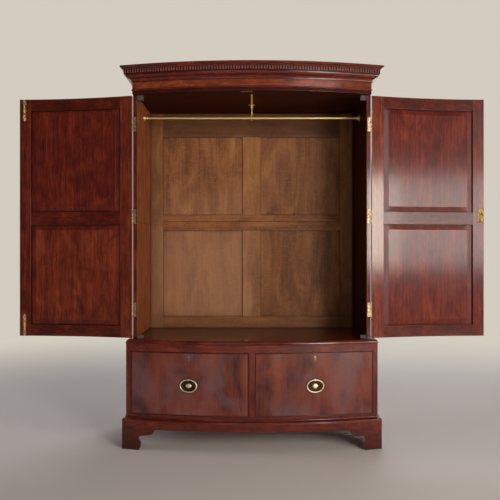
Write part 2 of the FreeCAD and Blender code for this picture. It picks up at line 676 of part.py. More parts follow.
def hinge_leaf(of_door):
    """One leaf with its knuckles, centred on z = 0, and the screws that hold it.

    Here x runs from the corner of the case along its front edge and y into the case.
    """
    axis_x, axis_y = -HINGE_REACH, -DOOR_GAP / 2
    low = -HINGE_LENGTH / 2
    segment = HINGE_LENGTH / KNUCKLES
    if of_door:
        y0, y1 = -DOOR_GAP - HINGE_PLATE, -DOOR_GAP
        face_y, way = y1, -1
    else:
        y0, y1 = 0.0, HINGE_PLATE
        face_y, way = y0, 1
    leaf = box(axis_x, HINGE_LEAF, y0, y1, low, low + HINGE_LENGTH)
    for index in range(KNUCKLES):
        own = (index % 2 == 1) == of_door
        split_low = HINGE_SPLIT / 2 if index > 0 else 0
        split_high = HINGE_SPLIT / 2 if index < KNUCKLES - 1 else 0
        z0, z1 = low + index * segment, low + (index + 1) * segment
        if own:
            leaf = leaf.fuse(rod(Vector(axis_x, axis_y, z0 + split_low),
                                 Vector(axis_x, axis_y, z1 - split_high), HINGE_KNUCKLE_R))
        else:
            leaf = leaf.cut(rod(Vector(axis_x, axis_y, z0 - split_low),
                                Vector(axis_x, axis_y, z1 + split_high),
                                HINGE_KNUCKLE_R + 2 * HINGE_SPLIT))
    bore_r = HINGE_PIN_R + (HINGE_PIN_FIT if of_door else 0)
    leaf = leaf.removeSplitter().cut(rod(Vector(axis_x, axis_y, low - MARGIN),
                                         Vector(axis_x, axis_y, -low + MARGIN), bore_r))
    screws = []
    for index in range(SCREWS_PER_LEAF):
        z = low + HINGE_LENGTH * (index + 0.5) / SCREWS_PER_LEAF
        x = HINGE_LEAF / 2 + (SCREW_STAGGER if index % 2 else -SCREW_STAGGER)
        head = Part.makeCone(SCREW_HEAD_R, SCREW_R, SCREW_HEAD, Vector(x, face_y, z),
                             Vector(0, way, 0))
        shank = rod(Vector(x, face_y, z), Vector(x, face_y + way * SCREW_LENGTH, z), SCREW_R)
        screws.append(head.fuse(shank).removeSplitter())
    for screw in screws:
        leaf = leaf.cut(screw)
    return leaf, screws


def hinge_pin():
    axis_x, axis_y = -HINGE_REACH, -DOOR_GAP / 2
    half = HINGE_LENGTH / 2
    pin = rod(Vector(axis_x, axis_y, -half), Vector(axis_x, axis_y, half), HINGE_PIN_R)
    for end, way in ((-half, -1), (half, 1)):
        finial = Part.makeCone(HINGE_FINIAL_R, HINGE_FINIAL_TIP_R, HINGE_FINIAL,
                               Vector(axis_x, axis_y, end), Vector(0, 0, way))
        pin = pin.fuse(finial)
    return pin.removeSplitter()


def hinge_zs():
    return [Z_FLOOR + HINGE_ABOVE_FLOOR, (Z_FLOOR + Z_CEILING) / 2 + HINGE_ABOVE_MIDDLE,
            Z_CEILING - HINGE_BELOW_CEILING]


def raised(shape, z):
    """Copy of a shape, moved up."""
    copy = shape.copy()
    copy.translate(Vector(0, 0, z))
    return copy


def hinge_sets(of_door):
    """Leaves, screws and one cutting block per leaf, at the left-hand corner, closed."""
    leaf, screws = hinge_leaf(of_door)
    y0, y1 = (-DOOR_GAP - HINGE_PLATE, -DOOR_GAP) if of_door else (0.0, HINGE_PLATE)
    seat = box(0 if of_door else -MARGIN, HINGE_LEAF, y0, y1,
               -HINGE_LENGTH / 2, HINGE_LENGTH / 2)
    leaves, fixings, seats = [], [], []
    for z in hinge_zs():
        leaves.append(hinge_corner(raised(leaf, z)))
        fixings += [hinge_corner(raised(screw, z)) for screw in screws]
        seats.append(hinge_corner(raised(seat, z)))
    return leaves, fixings, seats


# ---------------------------------------------------------------- upper case
def bolt_place():
    """Place of the door bolts in plan, with the left door closed."""
    x = -MEETING_GAP / 2 - BOLT_INSET
    angle = math.asin(x / DOOR_IN_R)
    inward = MOUNT_CLEAR + BOLT_PLATE + BOLT_ROD_STAND + BOLT_ROD_R
    return x - inward * math.sin(angle), bow_y(DOOR_IN_R, x) + inward * math.cos(angle)


def make_case():
    half = CASE_HALF_WIDTH
    leaves, screws, seats = hinge_sets(of_door=False)
    side = bow_board(-half, -INNER_HALF_WIDTH, BOW_R, CASE_DEPTH, Z_FLOOR, Z_CEILING)
    for cutter in seats + screws:
        side = side.cut(cutter)
    groove_z = Z_FLOOR + SIDE_GROOVE_Z
    side = side.cut(box(-INNER_HALF_WIDTH - SIDE_GROOVE, -INNER_HALF_WIDTH + MARGIN, -MARGIN * 4,
                        INNER_DEPTH, groove_z - SIDE_GROOVE / 2, groove_z + SIDE_GROOVE / 2))
    add("upper_sides", side, mirrored(side))
    pins = [hinge_corner(raised(hinge_pin(), z)) for z in hinge_zs()]
    add("case_hinge_leaves", *leaves, *[mirrored(leaf) for leaf in leaves])
    add("case_hinge_screws", *screws, *[mirrored(screw) for screw in screws])
    add("hinge_pins", *pins, *[mirrored(pin) for pin in pins])

    floor = bow_board(-half, half, CASE_R, CASE_DEPTH, Z_WAIST, Z_FLOOR)
    ceiling = bow_board(-half, half, CASE_R, CASE_DEPTH, Z_CEILING, Z_FRIEZE)
    bolt_x, bolt_y = bolt_place()
    hole_r = BOLT_ROD_R + HOLE_CLEAR
    reach = BOLT_TRAVEL + HOLE_SPARE - BOLT_TIP - DOOR_MARGIN
    for board, face_z, way in ((floor, Z_FLOOR, -1), (ceiling, Z_CEILING, 1)):
        z0, z1 = sorted((face_z, face_z + way * KEEP_PLATE))
        keep = box(bolt_x - KEEP_LENGTH / 2, bolt_x + KEEP_LENGTH / 2,
                   bolt_y - KEEP_WIDTH / 2, bolt_y + KEEP_WIDTH / 2, z0, z1)
        if way < 0:
            keep = Part.makeCylinder(KEEP_WIDTH / 2, KEEP_PLATE, Vector(bolt_x, bolt_y, z0))
        hole = rod(Vector(bolt_x, bolt_y, face_z - way * MARGIN),
                   Vector(bolt_x, bolt_y, face_z + way * reach), hole_r)
        add("bolt_keeps", keep.cut(hole))
        node = "upper_floor_board" if way < 0 else "upper_ceiling_board"
        add(node, board.cut(keep).cut(hole))

    make_back()
    make_rail()
    wide, deep, tall = CORNER_BLOCK
    for side_sign in (-1, 1):
        x0, x1 = sorted((side_sign * INNER_HALF_WIDTH, side_sign * (INNER_HALF_WIDTH - wide)))
        add("corner_blocks", box(x0, x1, 0, deep, Z_CEILING - tall, Z_CEILING),
            box(x0, x1, 0, deep, Z_FLOOR, Z_FLOOR + CORNER_BLOCK_LOW))


def make_back():
    """Framed and panelled back; the panels stand in grooves in the frame."""
    y0, y1 = INNER_DEPTH, CASE_DEPTH
    inner = INNER_HALF_WIDTH - BACK_STILE
    middle_z0 = Z_FLOOR + BACK_MIDDLE_RAIL_Z
    middle_z1 = middle_z0 + BACK_MIDDLE_RAIL
    bottom_z1 = Z_FLOOR + BACK_BOTTOM_RAIL
    top_z0 = Z_CEILING - BACK_TOP_RAIL
    frame = [
        box(-INNER_HALF_WIDTH, -inner, y0, y1, Z_FLOOR, Z_CEILING),
        box(inner, INNER_HALF_WIDTH, y0, y1, Z_FLOOR, Z_CEILING),
        box(-inner, inner, y0, y1, Z_FLOOR, bottom_z1),
        box(-inner, inner, y0, y1, middle_z0, middle_z1),
        box(-inner, inner, y0, y1, top_z0, Z_CEILING),
        box(-BACK_MUNTIN / 2, BACK_MUNTIN / 2, y0, y1, bottom_z1, middle_z0),
        box(-BACK_MUNTIN / 2, BACK_MUNTIN / 2, y0, y1, middle_z1, top_z0),
    ]
    joint_z = middle_z0 + BACK_RAIL_JOINT_Z
    frame[3] = frame[3].cut(box(-inner, inner, y0 - MARGIN, y0 + SIDE_GROOVE,
                                joint_z - SIDE_GROOVE / 2, joint_z + SIDE_GROOVE / 2))
    panel_y0 = y0 + BACK_PANEL_SET
    for x0, x1 in ((-inner, -BACK_MUNTIN / 2), (BACK_MUNTIN / 2, inner)):
        for z0, z1 in ((bottom_z1, middle_z0), (middle_z1, top_z0)):
            panel = box(x0 - TONGUE, x1 + TONGUE, panel_y0, panel_y0 + BACK_PANEL,
                        z0 - TONGUE, z1 + TONGUE)
            frame = [piece.cut(panel) for piece in frame]
            add("back_panels", panel)
    add("back_frame", *frame)


def make_rail():
    rail_z = Z_CEILING - RAIL_DROP
    ends = [Vector(x, RAIL_Y, rail_z) for x in (-INNER_HALF_WIDTH, INNER_HALF_WIDTH)]
    rail = rod(*ends, RAIL_R)
    add("hanging_rail", rail)
    for side, wall in zip((-1, 1), ends):
        flange = rod(wall, wall - Vector(side * SOCKET_FLANGE, 0, 0), SOCKET_FLANGE_R)
        cup = rod(wall, wall - Vector(side * SOCKET_CUP, 0, 0), SOCKET_CUP_R)
        add("rail_sockets", flange.fuse(cup).removeSplitter().cut(rail))
    half = HANGER_COLLAR / 2
    collar = rod(Vector(-half, RAIL_Y, rail_z), Vector(half, RAIL_Y, rail_z), HANGER_COLLAR_R)
    stem = rod(Vector(0, RAIL_Y, rail_z), Vector(0, RAIL_Y, Z_CEILING), HANGER_ROD_R)
    plate_z = Z_CEILING - HANGER_PLATE
    arm = HANGER_ARM / 2
    across = box(-HANGER_CROSS / 2, HANGER_CROSS / 2, RAIL_Y - arm, RAIL_Y + arm,
                 plate_z, Z_CEILING)
    strap = box(-arm, arm, -HANGER_STRAP_END, RAIL_Y + HANGER_CROSS / 2, plate_z, Z_CEILING)
    hanger = collar.fuse([stem, across, strap]).removeSplitter().cut(rail)
    add("rail_hanger", hanger)


# ---------------------------------------------------------------- cornice
def plan_point(radius, angle):
    return radius * math.sin(angle), BOW_Y - radius * math.cos(angle)


def make_dentils():
    """Strips with small blocks on their faces: one along the front and one down each side."""
    inner_r, root_r, tip_r = CASE_R, CASE_R + BED_OUT, CASE_R + DENTIL_TIP
    inner_x, root_x = CASE_HALF_WIDTH, CASE_HALF_WIDTH + BED_OUT
    tip_x = CASE_HALF_WIDTH + DENTIL_TIP
    half_angle = math.asin(root_x / root_r)
    count = int(2 * half_angle * root_r / DENTIL_PITCH)
    step = 2 * half_angle / count
    half_block = DENTIL_WIDTH / 2 / root_r
    outline = [(inner_x, bow_y(inner_r, inner_x)),
               (0, BOW_Y - inner_r, -inner_x, bow_y(inner_r, inner_x)),
               (-root_x, bow_y(root_r, root_x))]
    for index in range(count):
        middle = -half_angle + (index + 0.5) * step
        outline += [plan_point(root_r, middle - half_block), plan_point(tip_r, middle - half_block),
                    plan_point(tip_r, middle + half_block), plan_point(root_r, middle + half_block)]
    outline.append((root_x, bow_y(root_r, root_x)))
    add("cornice_dentils", prism_z(outline, Z_DENTIL, Z_CROWN))

    y0, y1 = bow_y(root_r, root_x), CASE_DEPTH
    count = int((y1 - y0) / DENTIL_PITCH)
    step = (y1 - y0) / count
    outline = [(inner_x, y1), (inner_x, bow_y(inner_r, inner_x)), (root_x, y0)]
    for index in range(count):
        middle = y0 + (index + 0.5) * step
        outline += [(root_x, middle - DENTIL_WIDTH / 2), (tip_x, middle - DENTIL_WIDTH / 2),
                    (tip_x, middle + DENTIL_WIDTH / 2), (root_x, middle + DENTIL_WIDTH / 2)]
    outline.append((root_x, y1))
    strip = prism_z(outline, Z_DENTIL, Z_CROWN)
    add("cornice_dentils", strip, mirrored(strip))


def make_cornice():
    half, radius = CASE_HALF_WIDTH, CASE_R

    def run(node, profile):
        add(node, *moulding_run(profile, half, radius, half, radius))

    crown_top = Z_TOP - CROWN_FLAT
    run("cornice_crown", [(CROWN_FOOT, Z_CROWN),
                          *ogee((CROWN_FOOT, Z_CROWN), (CROWN_OUT, crown_top), CROWN_CURVE),
                          (CROWN_OUT, Z_TOP)])
    bed_low, bed_high = Z_BED + BED_FILLET, Z_DENTIL - BED_FILLET
    cove_out = BED_OUT - BED_FILLET
    run("cornice_mouldings", [
        (BED_FILLET, Z_BED), (BED_FILLET, bed_low),
        *ogee((BED_FILLET, bed_low), (cove_out, bed_high - BED_FILLET), BED_CURVE),
        (cove_out, bed_high), (BED_OUT, bed_high), (BED_OUT, Z_DENTIL)])
    bead_z0 = Z_FRIEZE - BEAD_HEIGHT / 2
    run("cornice_mouldings", [(0, bead_z0), (BEAD, Z_FRIEZE, 0, bead_z0 + BEAD_HEIGHT)])
    make_dentils()

    add("frieze_boards",
        *moulding_run([(0, Z_FRIEZE), (0, Z_CROWN)], half, radius,
                      half - FRIEZE_THICK, radius - FRIEZE_THICK),
        box(-half + FRIEZE_THICK, half - FRIEZE_THICK, CASE_DEPTH - FRIEZE_THICK, CASE_DEPTH,
            Z_FRIEZE, Z_CROWN))
    add("cornice_dust_board",
        bow_board(-half, half, radius, CASE_DEPTH, Z_CROWN, Z_CROWN + DUST_BOARD))


# ---------------------------------------------------------------- doors
def door_panel(x0, x1, z0, z1):
    """Panel for the opening x0..x1, z0..z1: flat outside, fielded inside."""
    tongue_r1 = DOOR_OUT_R - DOOR_PANEL_FRONT
    tongue_r0 = tongue_r1 - DOOR_PANEL_TONGUE
    field_r = DOOR_IN_R + DOOR_FIELD
    step_r = field_r + DOOR_BEVEL_STEP
    low, high = z0 + DOOR_BEVEL, z1 - DOOR_BEVEL
    section = [(tongue_r1, z0 - TONGUE), (tongue_r1, z1 + TONGUE), (tongue_r0, z1 + TONGUE),
               (tongue_r0, z1), (step_r, high), (field_r, high), (field_r, low), (step_r, low),
               (tongue_r0, z0), (tongue_r0, z0 - TONGUE)]
    panel = bow_sweep(section).common(
        box(x0 - TONGUE, x1 + TONGUE, bow_y(DOOR_OUT_R, 0) - MARGIN, CASE_DEPTH,
            z0 - 2 * TONGUE, z1 + 2 * TONGUE))
    for edge, way in ((x0, 1), (x1, -1)):
        inside = edge + way * DOOR_BEVEL
        outside = edge - way * (TONGUE + MARGIN)
        clear_r = field_r - MARGIN
        wedge = [(edge, bow_y(tongue_r0, edge)), (inside, bow_y(step_r, inside)),
                 (inside, bow_y(clear_r, inside)), (outside, bow_y(clear_r, outside)),
                 (outside, bow_y(tongue_r0, outside))]
        panel = panel.cut(prism_z(wedge, z0 - 2 * TONGUE, z1 + 2 * TONGUE))
    return panel


def panel_moulding(x0, x1, z0, z1):
    """Four mitred lengths of moulding round the outer face of a panel."""
    face_r = DOOR_OUT_R - DOOR_PANEL_FRONT
    lip_r = DOOR_OUT_R - DOOR_MOULD_SET
    share = DOOR_MOULD_SWELL
    middle_r = face_r + (lip_r - face_r) * share
    wide = DOOR_MOULD
    front_y, back_y = bow_y(DOOR_OUT_R, 0) - MARGIN, CASE_DEPTH
    pieces = []
    for edge, way in ((x0, 1), (x1, -1)):
        inside, middle = edge + way * wide, edge + way * wide * share
        path = [(edge, bow_y(face_r, edge)), (edge, bow_y(lip_r, edge)),
                (middle, bow_y(middle_r, middle), inside, bow_y(face_r, inside)),
                (middle, bow_y(face_r, middle), edge, bow_y(face_r, edge))]
        mitre = prism_y([(edge, z0), (inside, z0 + wide), (inside, z1 - wide), (edge, z1)],
                        front_y, back_y)
        pieces.append(prism_z(path, z0, z1).common(mitre))
    for edge, way in ((z0, 1), (z1, -1)):
        inside, middle = edge + way * wide, edge + way * wide * share
        section = faceted([(face_r, edge), (lip_r, edge), (middle_r, middle, face_r, inside)])
        mitre = prism_y([(x0, edge), (x1, edge), (x1 - wide, inside), (x0 + wide, inside)],
                        front_y, back_y)
        pieces.append(bow_sweep(section).common(mitre))
    return pieces


def make_left_door():
    """Left-hand door without its furniture, closed; returns its shapes by node."""
    x0, x1 = -CASE_HALF_WIDTH, -MEETING_GAP / 2
    z0, z1 = Z_DOOR, Z_DOOR + DOOR_HEIGHT
    left, right = x0 + HINGE_STILE, x1 - MEETING_STILE
    middle_z0 = z0 + DOOR_MIDDLE_RAIL_Z
    middle_z1 = middle_z0 + DOOR_MIDDLE_RAIL
    low, high = z0 + DOOR_RAIL, z1 - DOOR_RAIL

    def slab(a, b, c, d):
        return bow_slab(a, b, DOOR_IN_R, DOOR_OUT_R, c, d)

    frame = [slab(x0, left, z0, z1), slab(right, x1, z0, z1), slab(left, right, z0, low),
             slab(left, right, middle_z0, middle_z1), slab(left, right, high, z1)]
    panels, mouldings = [], []
    for bottom, top in ((low, middle_z0), (middle_z1, high)):
        panel = door_panel(left, right, bottom, top)
        frame = [piece.cut(panel) for piece in frame]
        panels.append(panel)
        mouldings += panel_moulding(left, right, bottom, top)
    leaves, screws, seats = hinge_sets(of_door=True)
    for cutter in seats + screws:
        frame[0] = frame[0].cut(cutter)
    return {
        "door_frame": frame,
        "door_panels": panels,
        "door_mouldings": mouldings,
        "door_hinge_leaves": leaves,
        "door_screws": screws,
    }


def make_bolts():
    """Bolts of the left door, closed: the fixed plates with their staples, and the two rods."""
    rod_y = BOLT_PLATE + BOLT_ROD_STAND + BOLT_ROD_R
    base = box(-BOLT_PLATE_WIDTH / 2, BOLT_PLATE_WIDTH / 2, 0, BOLT_PLATE, -BOLT_PLATE_LENGTH, 0)
    lobes = [rod(Vector(0, 0, z), Vector(0, BOLT_PLATE, z), BOLT_LOBE_R)
             for z in (-BOLT_LOBE_R, -BOLT_PLATE_LENGTH / 2, -BOLT_PLATE_LENGTH + BOLT_LOBE_R)]
    plate = base.fuse(lobes)
    for start in BOLT_STAPLES:
        plate = plate.fuse(box(-BOLT_STAPLE_WIDTH / 2, BOLT_STAPLE_WIDTH / 2, BOLT_PLATE,
                               rod_y + BOLT_ROD_R + BOLT_PLATE, -start - BOLT_STAPLE, -start))
    bore = rod(Vector(0, rod_y, -BOLT_PLATE_LENGTH - MARGIN), Vector(0, rod_y, MARGIN),
               BOLT_ROD_R + BOLT_FIT)
    plate = plate.removeSplitter().cut(bore)
    plate.translate(Vector(0, 0, -BOLT_ROD_R))
    shaft = rod(Vector(0, rod_y, -BOLT_ROD_LENGTH), Vector(0, rod_y, 0), BOLT_ROD_R)
    stem_end = Vector(0, rod_y + BOLT_KNOB_STEM, -BOLT_KNOB_Z)
    stem = rod(Vector(0, rod_y, -BOLT_KNOB_Z), stem_end, BOLT_KNOB_STEM_R)
    bolt = shaft.fuse([stem, Part.makeSphere(BOLT_KNOB_R, stem_end)]).removeSplitter()

    x = -MEETING_GAP / 2 - BOLT_INSET
    tips = (Z_DOOR + DOOR_HEIGHT - BOLT_TIP, Z_DOOR + BOLT_TIP)
    placed = []
    for tip_z, turned in zip(tips, (False, True)):
        for shape in (plate, bolt):
            copy = shape.copy()
            if turned:
                copy = copy.mirror(Vector(0, 0, 0), Vector(0, 0, 1))
            copy.translate(Vector(0, MOUNT_CLEAR, tip_z))
            placed.append(on_bow(copy, DOOR_IN_R, x))
    top_plate, top_bolt, bottom_plate, bottom_bolt = placed
    return [top_plate, bottom_plate], top_bolt, bottom_bolt


def make_lock():
    """Door lock as it lies at the free edge of a closed left-hand door, to be mirrored."""
    edge = -MEETING_GAP / 2
    face_y = bow_y(DOOR_IN_R, edge - LOCK_WIDTH / 2)
    lock_z = Z_DOOR + LOCK_Z
    case = box(edge - LOCK_WIDTH, edge, face_y - LOCK_DEPTH, face_y + LOCK_PROUD,
               lock_z - LOCK_HEIGHT / 2, lock_z + LOCK_HEIGHT / 2)
    bolt_y1 = face_y - LOCK_BOLT_SET
    bolt_y0 = bolt_y1 - LOCK_BOLT_WIDTH
    half = LOCK_BOLT_HEIGHT / 2
    bolt = box(edge - LOCK_BOLT_LENGTH, edge, bolt_y0, bolt_y1, lock_z - half, lock_z + half)
    channel = box(edge - LOCK_BOLT_LENGTH, edge + MARGIN, bolt_y0 - LOCK_FIT,
                  bolt_y1 + LOCK_FIT, lock_z - half - LOCK_FIT, lock_z + half + LOCK_FIT)
    key = keyhole(-LOCK_DEPTH - DOOR_THICK - MARGIN, 0)
    key.translate(Vector(edge - LOCK_WIDTH / 2, bolt_y0, lock_z))
    scutcheon = oval(*DOOR_SCUTCHEON, -MOUNT_CLEAR - SCUTCHEON_PLATE, -MOUNT_CLEAR)
    scutcheon.translate(Vector(0, 0, lock_z))
    scutcheon = on_bow(scutcheon, DOOR_OUT_R, edge - LOCK_WIDTH / 2).cut(key)
    strike_y = (bolt_y0 + bolt_y1) / 2
    strike = box(edge - STRIKE_PLATE, edge, strike_y - STRIKE_WIDTH / 2,
                 strike_y + STRIKE_WIDTH / 2 - HOLE_CLEAR,
                 lock_z - STRIKE_HEIGHT / 2, lock_z + STRIKE_HEIGHT / 2)
    mortise = box(edge - LOCK_TRAVEL - HOLE_SPARE, edge + MARGIN, bolt_y0 - HOLE_CLEAR,
                  bolt_y1 + HOLE_CLEAR, lock_z - half - HOLE_CLEAR, lock_z + half + HOLE_CLEAR)
    return case, channel, key, bolt, scutcheon, strike, mortise


def opened(shape, side):
    """Turns a closed door's shape to where the door stands; side is -1 on the left."""
    axis = Vector(-HINGE_REACH, -DOOR_GAP / 2, 0)
    pivot = on_bow(Part.Vertex(axis), BOW_R, -CASE_HALF_WIDTH).Point
    pivot = Vector(-side * pivot.x, pivot.y, 0)
    turned = shape.copy()
    turned.rotate(pivot, Vector(0, 0, 1), side * DOOR_OPEN)
    return turned


def make_doors():
    door = make_left_door()
    plates, top_bolt, bottom_bolt = make_bolts()
    case, channel, key, lock_bolt, scutcheon, strike, mortise = make_lock()
    for name, shapes in door.items():
        left_shapes, right_shapes = list(shapes), list(shapes)
        if name == "door_frame":
            left_shapes[1] = shapes[1].cut(strike).cut(mortise)
            right_shapes[1] = shapes[1].cut(case).cut(key)
        add("left_" + name, *[opened(shape, -1) for shape in left_shapes])
        add("right_" + name, *[opened(mirrored(shape), 1) for shape in right_shapes])
    add("left_door_bolt_plates", *[opened(plate, -1) for plate in plates],
        opened(strike.cut(mortise), -1))
    add("top_bolt", opened(top_bolt, -1))
    add("bottom_bolt", opened(bottom_bolt, -1))
    lock = case.cut(channel).cut(key)
    add("door_lock", opened(mirrored(lock), 1), opened(mirrored(scutcheon), 1))
    add("door_lock_bolt", opened(mirrored(lock_bolt), 1))


def make_drawers():
    for name, shapes in make_left_drawer().items():
        add("left_" + name, *shapes)
        add("right_" + name, *[mirrored(shape) for shape in shapes])


def export():
    for name, shapes in nodes.items():
        solids = [solid for shape in shapes for solid in shape.Solids]
        shape = solids[0] if len(solids) == 1 else Part.makeCompound(solids)
        shape.translate(Vector(0, -FOOTPRINT_Y, 0))
        shape.exportStep("parts/" + name + ".step")
        print(name, len(solids), round(shape.Volume), shape.isValid())


make_plinth()
make_chest()
make_drawers()
make_case()
make_cornice()
make_doors()
export()
print(len(nodes), "nodes")
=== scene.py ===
"""Looks of a bow-fronted mahogany linen press that hangs clothes, laid out as a Blender add-on."""
import math
import random

import bmesh
import bpy
from mathutils import Matrix, Vector


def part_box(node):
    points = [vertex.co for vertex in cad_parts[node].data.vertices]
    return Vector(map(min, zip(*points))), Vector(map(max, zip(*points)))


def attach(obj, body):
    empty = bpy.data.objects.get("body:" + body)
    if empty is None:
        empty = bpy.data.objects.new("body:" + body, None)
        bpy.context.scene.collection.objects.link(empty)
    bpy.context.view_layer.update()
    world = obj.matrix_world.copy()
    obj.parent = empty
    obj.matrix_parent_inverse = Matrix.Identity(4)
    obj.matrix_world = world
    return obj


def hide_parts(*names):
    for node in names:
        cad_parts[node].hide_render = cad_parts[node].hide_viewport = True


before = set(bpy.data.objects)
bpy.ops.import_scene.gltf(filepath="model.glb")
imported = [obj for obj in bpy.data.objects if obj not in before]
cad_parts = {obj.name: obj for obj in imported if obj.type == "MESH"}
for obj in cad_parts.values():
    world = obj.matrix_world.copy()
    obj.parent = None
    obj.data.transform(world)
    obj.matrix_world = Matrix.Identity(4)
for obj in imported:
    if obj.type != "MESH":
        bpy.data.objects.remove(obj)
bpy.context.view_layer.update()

bl_info = {
    "name": "Linen Press",
    "version": (1, 0, 0),
    "blender": (4, 5, 0),
    "location": "View3D > Sidebar > Press",
    "description": "Finishes a mahogany linen press: boards, mouldings, brasswork and studio",
    "category": "Object",
}

MM = 0.001

# Sizes that the made pieces share with the frame, in metres
BOW_AXIS_Y = 1.98175             # upright axis of all the bowed faces
CASE_HALF, CASE_BOW = 0.630, 2.275
CASE_INSIDE = 0.615              # from the middle, just past the inner faces of the case
DRAWER_MIDDLE = 0.32525
CHEST_HALF, CHEST_BOW = 0.661, 2.290
PLINTH_HALF, PLINTH_BOW = 0.680, 2.309
PLINTH_DEEP = 0.059              # from the front of the plinth's moulding to its flat back
REAR_RAIL_HALF, REAR_RAIL_DEEP = 0.621, 0.040
WAIST_FIT = 0.3 * MM             # gap between the waist moulding and the case
HINGE_STILE_END = 0.6995         # from the middle of the press, with the doors open
DOOR_MIDDLE = 1.2                # height of the doors' middle rails
PANEL_SLOPE = 0.034              # from the edge of a panel to its field
DENTIL_GROUND = 0.0405           # just past the strip behind the dentils, out of the case
HANGER_PLATE = 0.003             # thickness of the plate that holds the hanger
PLATE_WIDE, PLATE_TALL = 45, 33.5   # half sizes of a handle's oval plate, in millimetres
PLATE_BOSS = 0.345               # share of the plate that its boss takes up
PAST_MITRE = 0.05                # how far a moulding runs on before its mitre is cut
BACK_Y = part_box("upper_sides")[1].y
CORNICE_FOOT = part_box("upper_ceiling_board")[1].z
FRIEZE_TOP = CORNICE_FOOT + 0.041
DENTIL_FOOT, DENTIL_TOP = [corner.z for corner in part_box("cornice_dentils")]
CROWN_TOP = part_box("cornice_crown")[1].z
WAIST_FOOT, WAIST_TOP = [corner.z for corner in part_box("waist_moulding")]
PLINTH_FOOT, PLINTH_TOP = [corner.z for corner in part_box("plinth_moulding")]

SOFT_ENDS = {"interpolation_type": "SMOOTHSTEP"}
GRAIN_AXES = {"across": 0, "deep": 1, "upright": 2}
GRAIN_OF = {"chest_sides": "upright", "drawer_partition": "upright"}

# Finishes of the mahogany: tones of its own from dark to light, a colour laid over them with its
# share (a stain, and for some finishes painted shade or a painted highlight), weight and
# roughness of the polish, and how much duller the wood under it is
MAHOGANIES = {
    # French polished with shellac, whose deep film gives a sharp, soft-edged sheen
    "polished": {},
    # Crotch veneer under the same polish, with flames and orange patches
    "figured": {},
    # Arrises where hands have thinned the polish and the wood is paler
    "worn": {"stain_and_painted_light": (0.42, "#9a4c30"), "coat": (0.6, 0.18)},
    # Small faces that stand proud and have lost their stain, paler also as a painted highlight
    "rubbed": {"stain_and_painted_light": (0.34, "#b0796a"), "coat": (0.6, 0.2)},
    # Dark with old wax in corners and gaps, and darker still as painted shade where shadow lines fall
    "grimed": {"stain_and_painted_light": (0.88, "#0b0302"), "coat": (0.45, 0.3)},
    # Rails cut from darker boards
    "dark": {"stain_and_painted_light": (0.3, "#1c0805"), "coat": (0.6, 0.15)},
    # Veneer of the frieze, of a warmer orange
    "ruddy": {"tones": ("#431509", "#84391f", "#b35c35")},
    # Door stiles and panels cut from a paler board
    "warm": {"tones": ("#3a1209", "#722b17", "#9e4a29")},
    # Slopes of the panels, where dusting has thinned the polish
    "dulled": {"coat": (0.4, 0.3)},
    # Inner faces oiled once and left dull, darkened as painted shade where the case shades them
    "oiled": {"stain_and_painted_light": (0.66, "#100502"), "coat": (0.06, 0.5), "dull": 0.2},
    # Painted light: the inner face that the light from the right falls on, made a paler orange
    "faded": {"tones": ("#592812", "#8f4e2b", "#bd7a4c"), "coat": (0.12, 0.4), "dull": 0.2},
}

# Metals: colour of the body and of the hollows, as hex codes or settings, share of tarnish,
# roughness, size of the tarnish's patches in millimetres, and strength of the rubbing marks
METALS = {
    # Tube of the rail, drawn and polished: pale gold with a soft streak of light
    "drawn_brass": ("#ffe59c", "#f2d488", 0.0, 0.38, 40, 0.02),
    # Rims and rings of the handles, bright where hands rub them
    "rubbed_brass": ("#fff2dc", "#b89c74", 0.08, 0.44, 7, 0.12),
    # Stamped plates of the handles, whose hollows have gone brown
    "tarnished_brass": ("#5a4428", "brass_dark", 0.6, 0.38, 6, 0.12),
    # Door bolts, cast, brown in their hollows
    "cast_brass": ("#e3c48a", "brass_dark", 0.2, 0.32, 8, 0.12),
    # Hinges, scrubbed pale and dull
    "scrubbed_brass": ("brass_pale", "#54452e", 0.42, 0.45, 8, 0.12),
    # Case of the door lock, gone dull and brown
    "dull_brass": ("#94784e", "brass_dark", 0.5, 0.42, 9, 0.12),
    # Lock bolts of filed iron, grey with dark specks
    "filed_iron": ("iron", "#4a4642", 0.3, 0.4, 8, 0.12),
}

# Soft lights: azimuth from the front, elevation, width and height in metres, and tint
LIGHTS = {
    "window": (50, 4, (0.9, 1.1), "#fff4e8"),
    "between": (38, 4, (1.2, 1.1), "#fdf4ee"),
    "glow": (26.5, 4, (0.9, 1.1), "#fbf3f2"),
    "over": (24, 16, (1.6, 1.0), "#fdf4ee"),
    "left": (-94, 12, (2.0, 2.0), "#f6f2ff"),
    "front": (-9, 8, (1.8, 1.6), "#f6f2ff"),
    "ceiling": (5, 58, (3.0, 2.0), "#fff6ee"),
    "rear": (165, 28, (3.0, 3.0), "#f4f4ff"),
}
LIGHT_AIM, LIGHT_REACH = Vector((0.0, -0.1, 1.0)), 5.4
ROOM_LIGHT = "#f4efe8"
FLOOR_RADIUS, FLOOR_DEEP = 14.0, 0.03
EYE_PLACE = (-0.0098, -3.878, 1.04)
EYE_SENSOR, EYE_LENS = 36.0, 50.26          # in millimetres


# ---------------------------------------------------------------- settings
def linear(code):
    """Linear colour of an sRGB hex code."""
    values = [int(code[i:i + 2], 16) / 255 for i in (1, 3, 5)]
    return [v / 12.92 if v <= 0.04045 else ((v + 0.055) / 1.055) ** 2.4 for v in values] + [1.0]


def colour_setting(name, description, code):
    """Colour that a user can change, with its default as an sRGB hex code."""
    return bpy.props.FloatVectorProperty(name=name, description=description, subtype="COLOR",
                                         size=4, min=0.0, max=1.0, default=linear(code))


def power_setting(name, description, power):
    """Power of a light that a user can change, in watts."""
    return bpy.props.FloatProperty(name=name, description="Power of the " + description,
                                   default=power, min=0.0, unit="POWER")


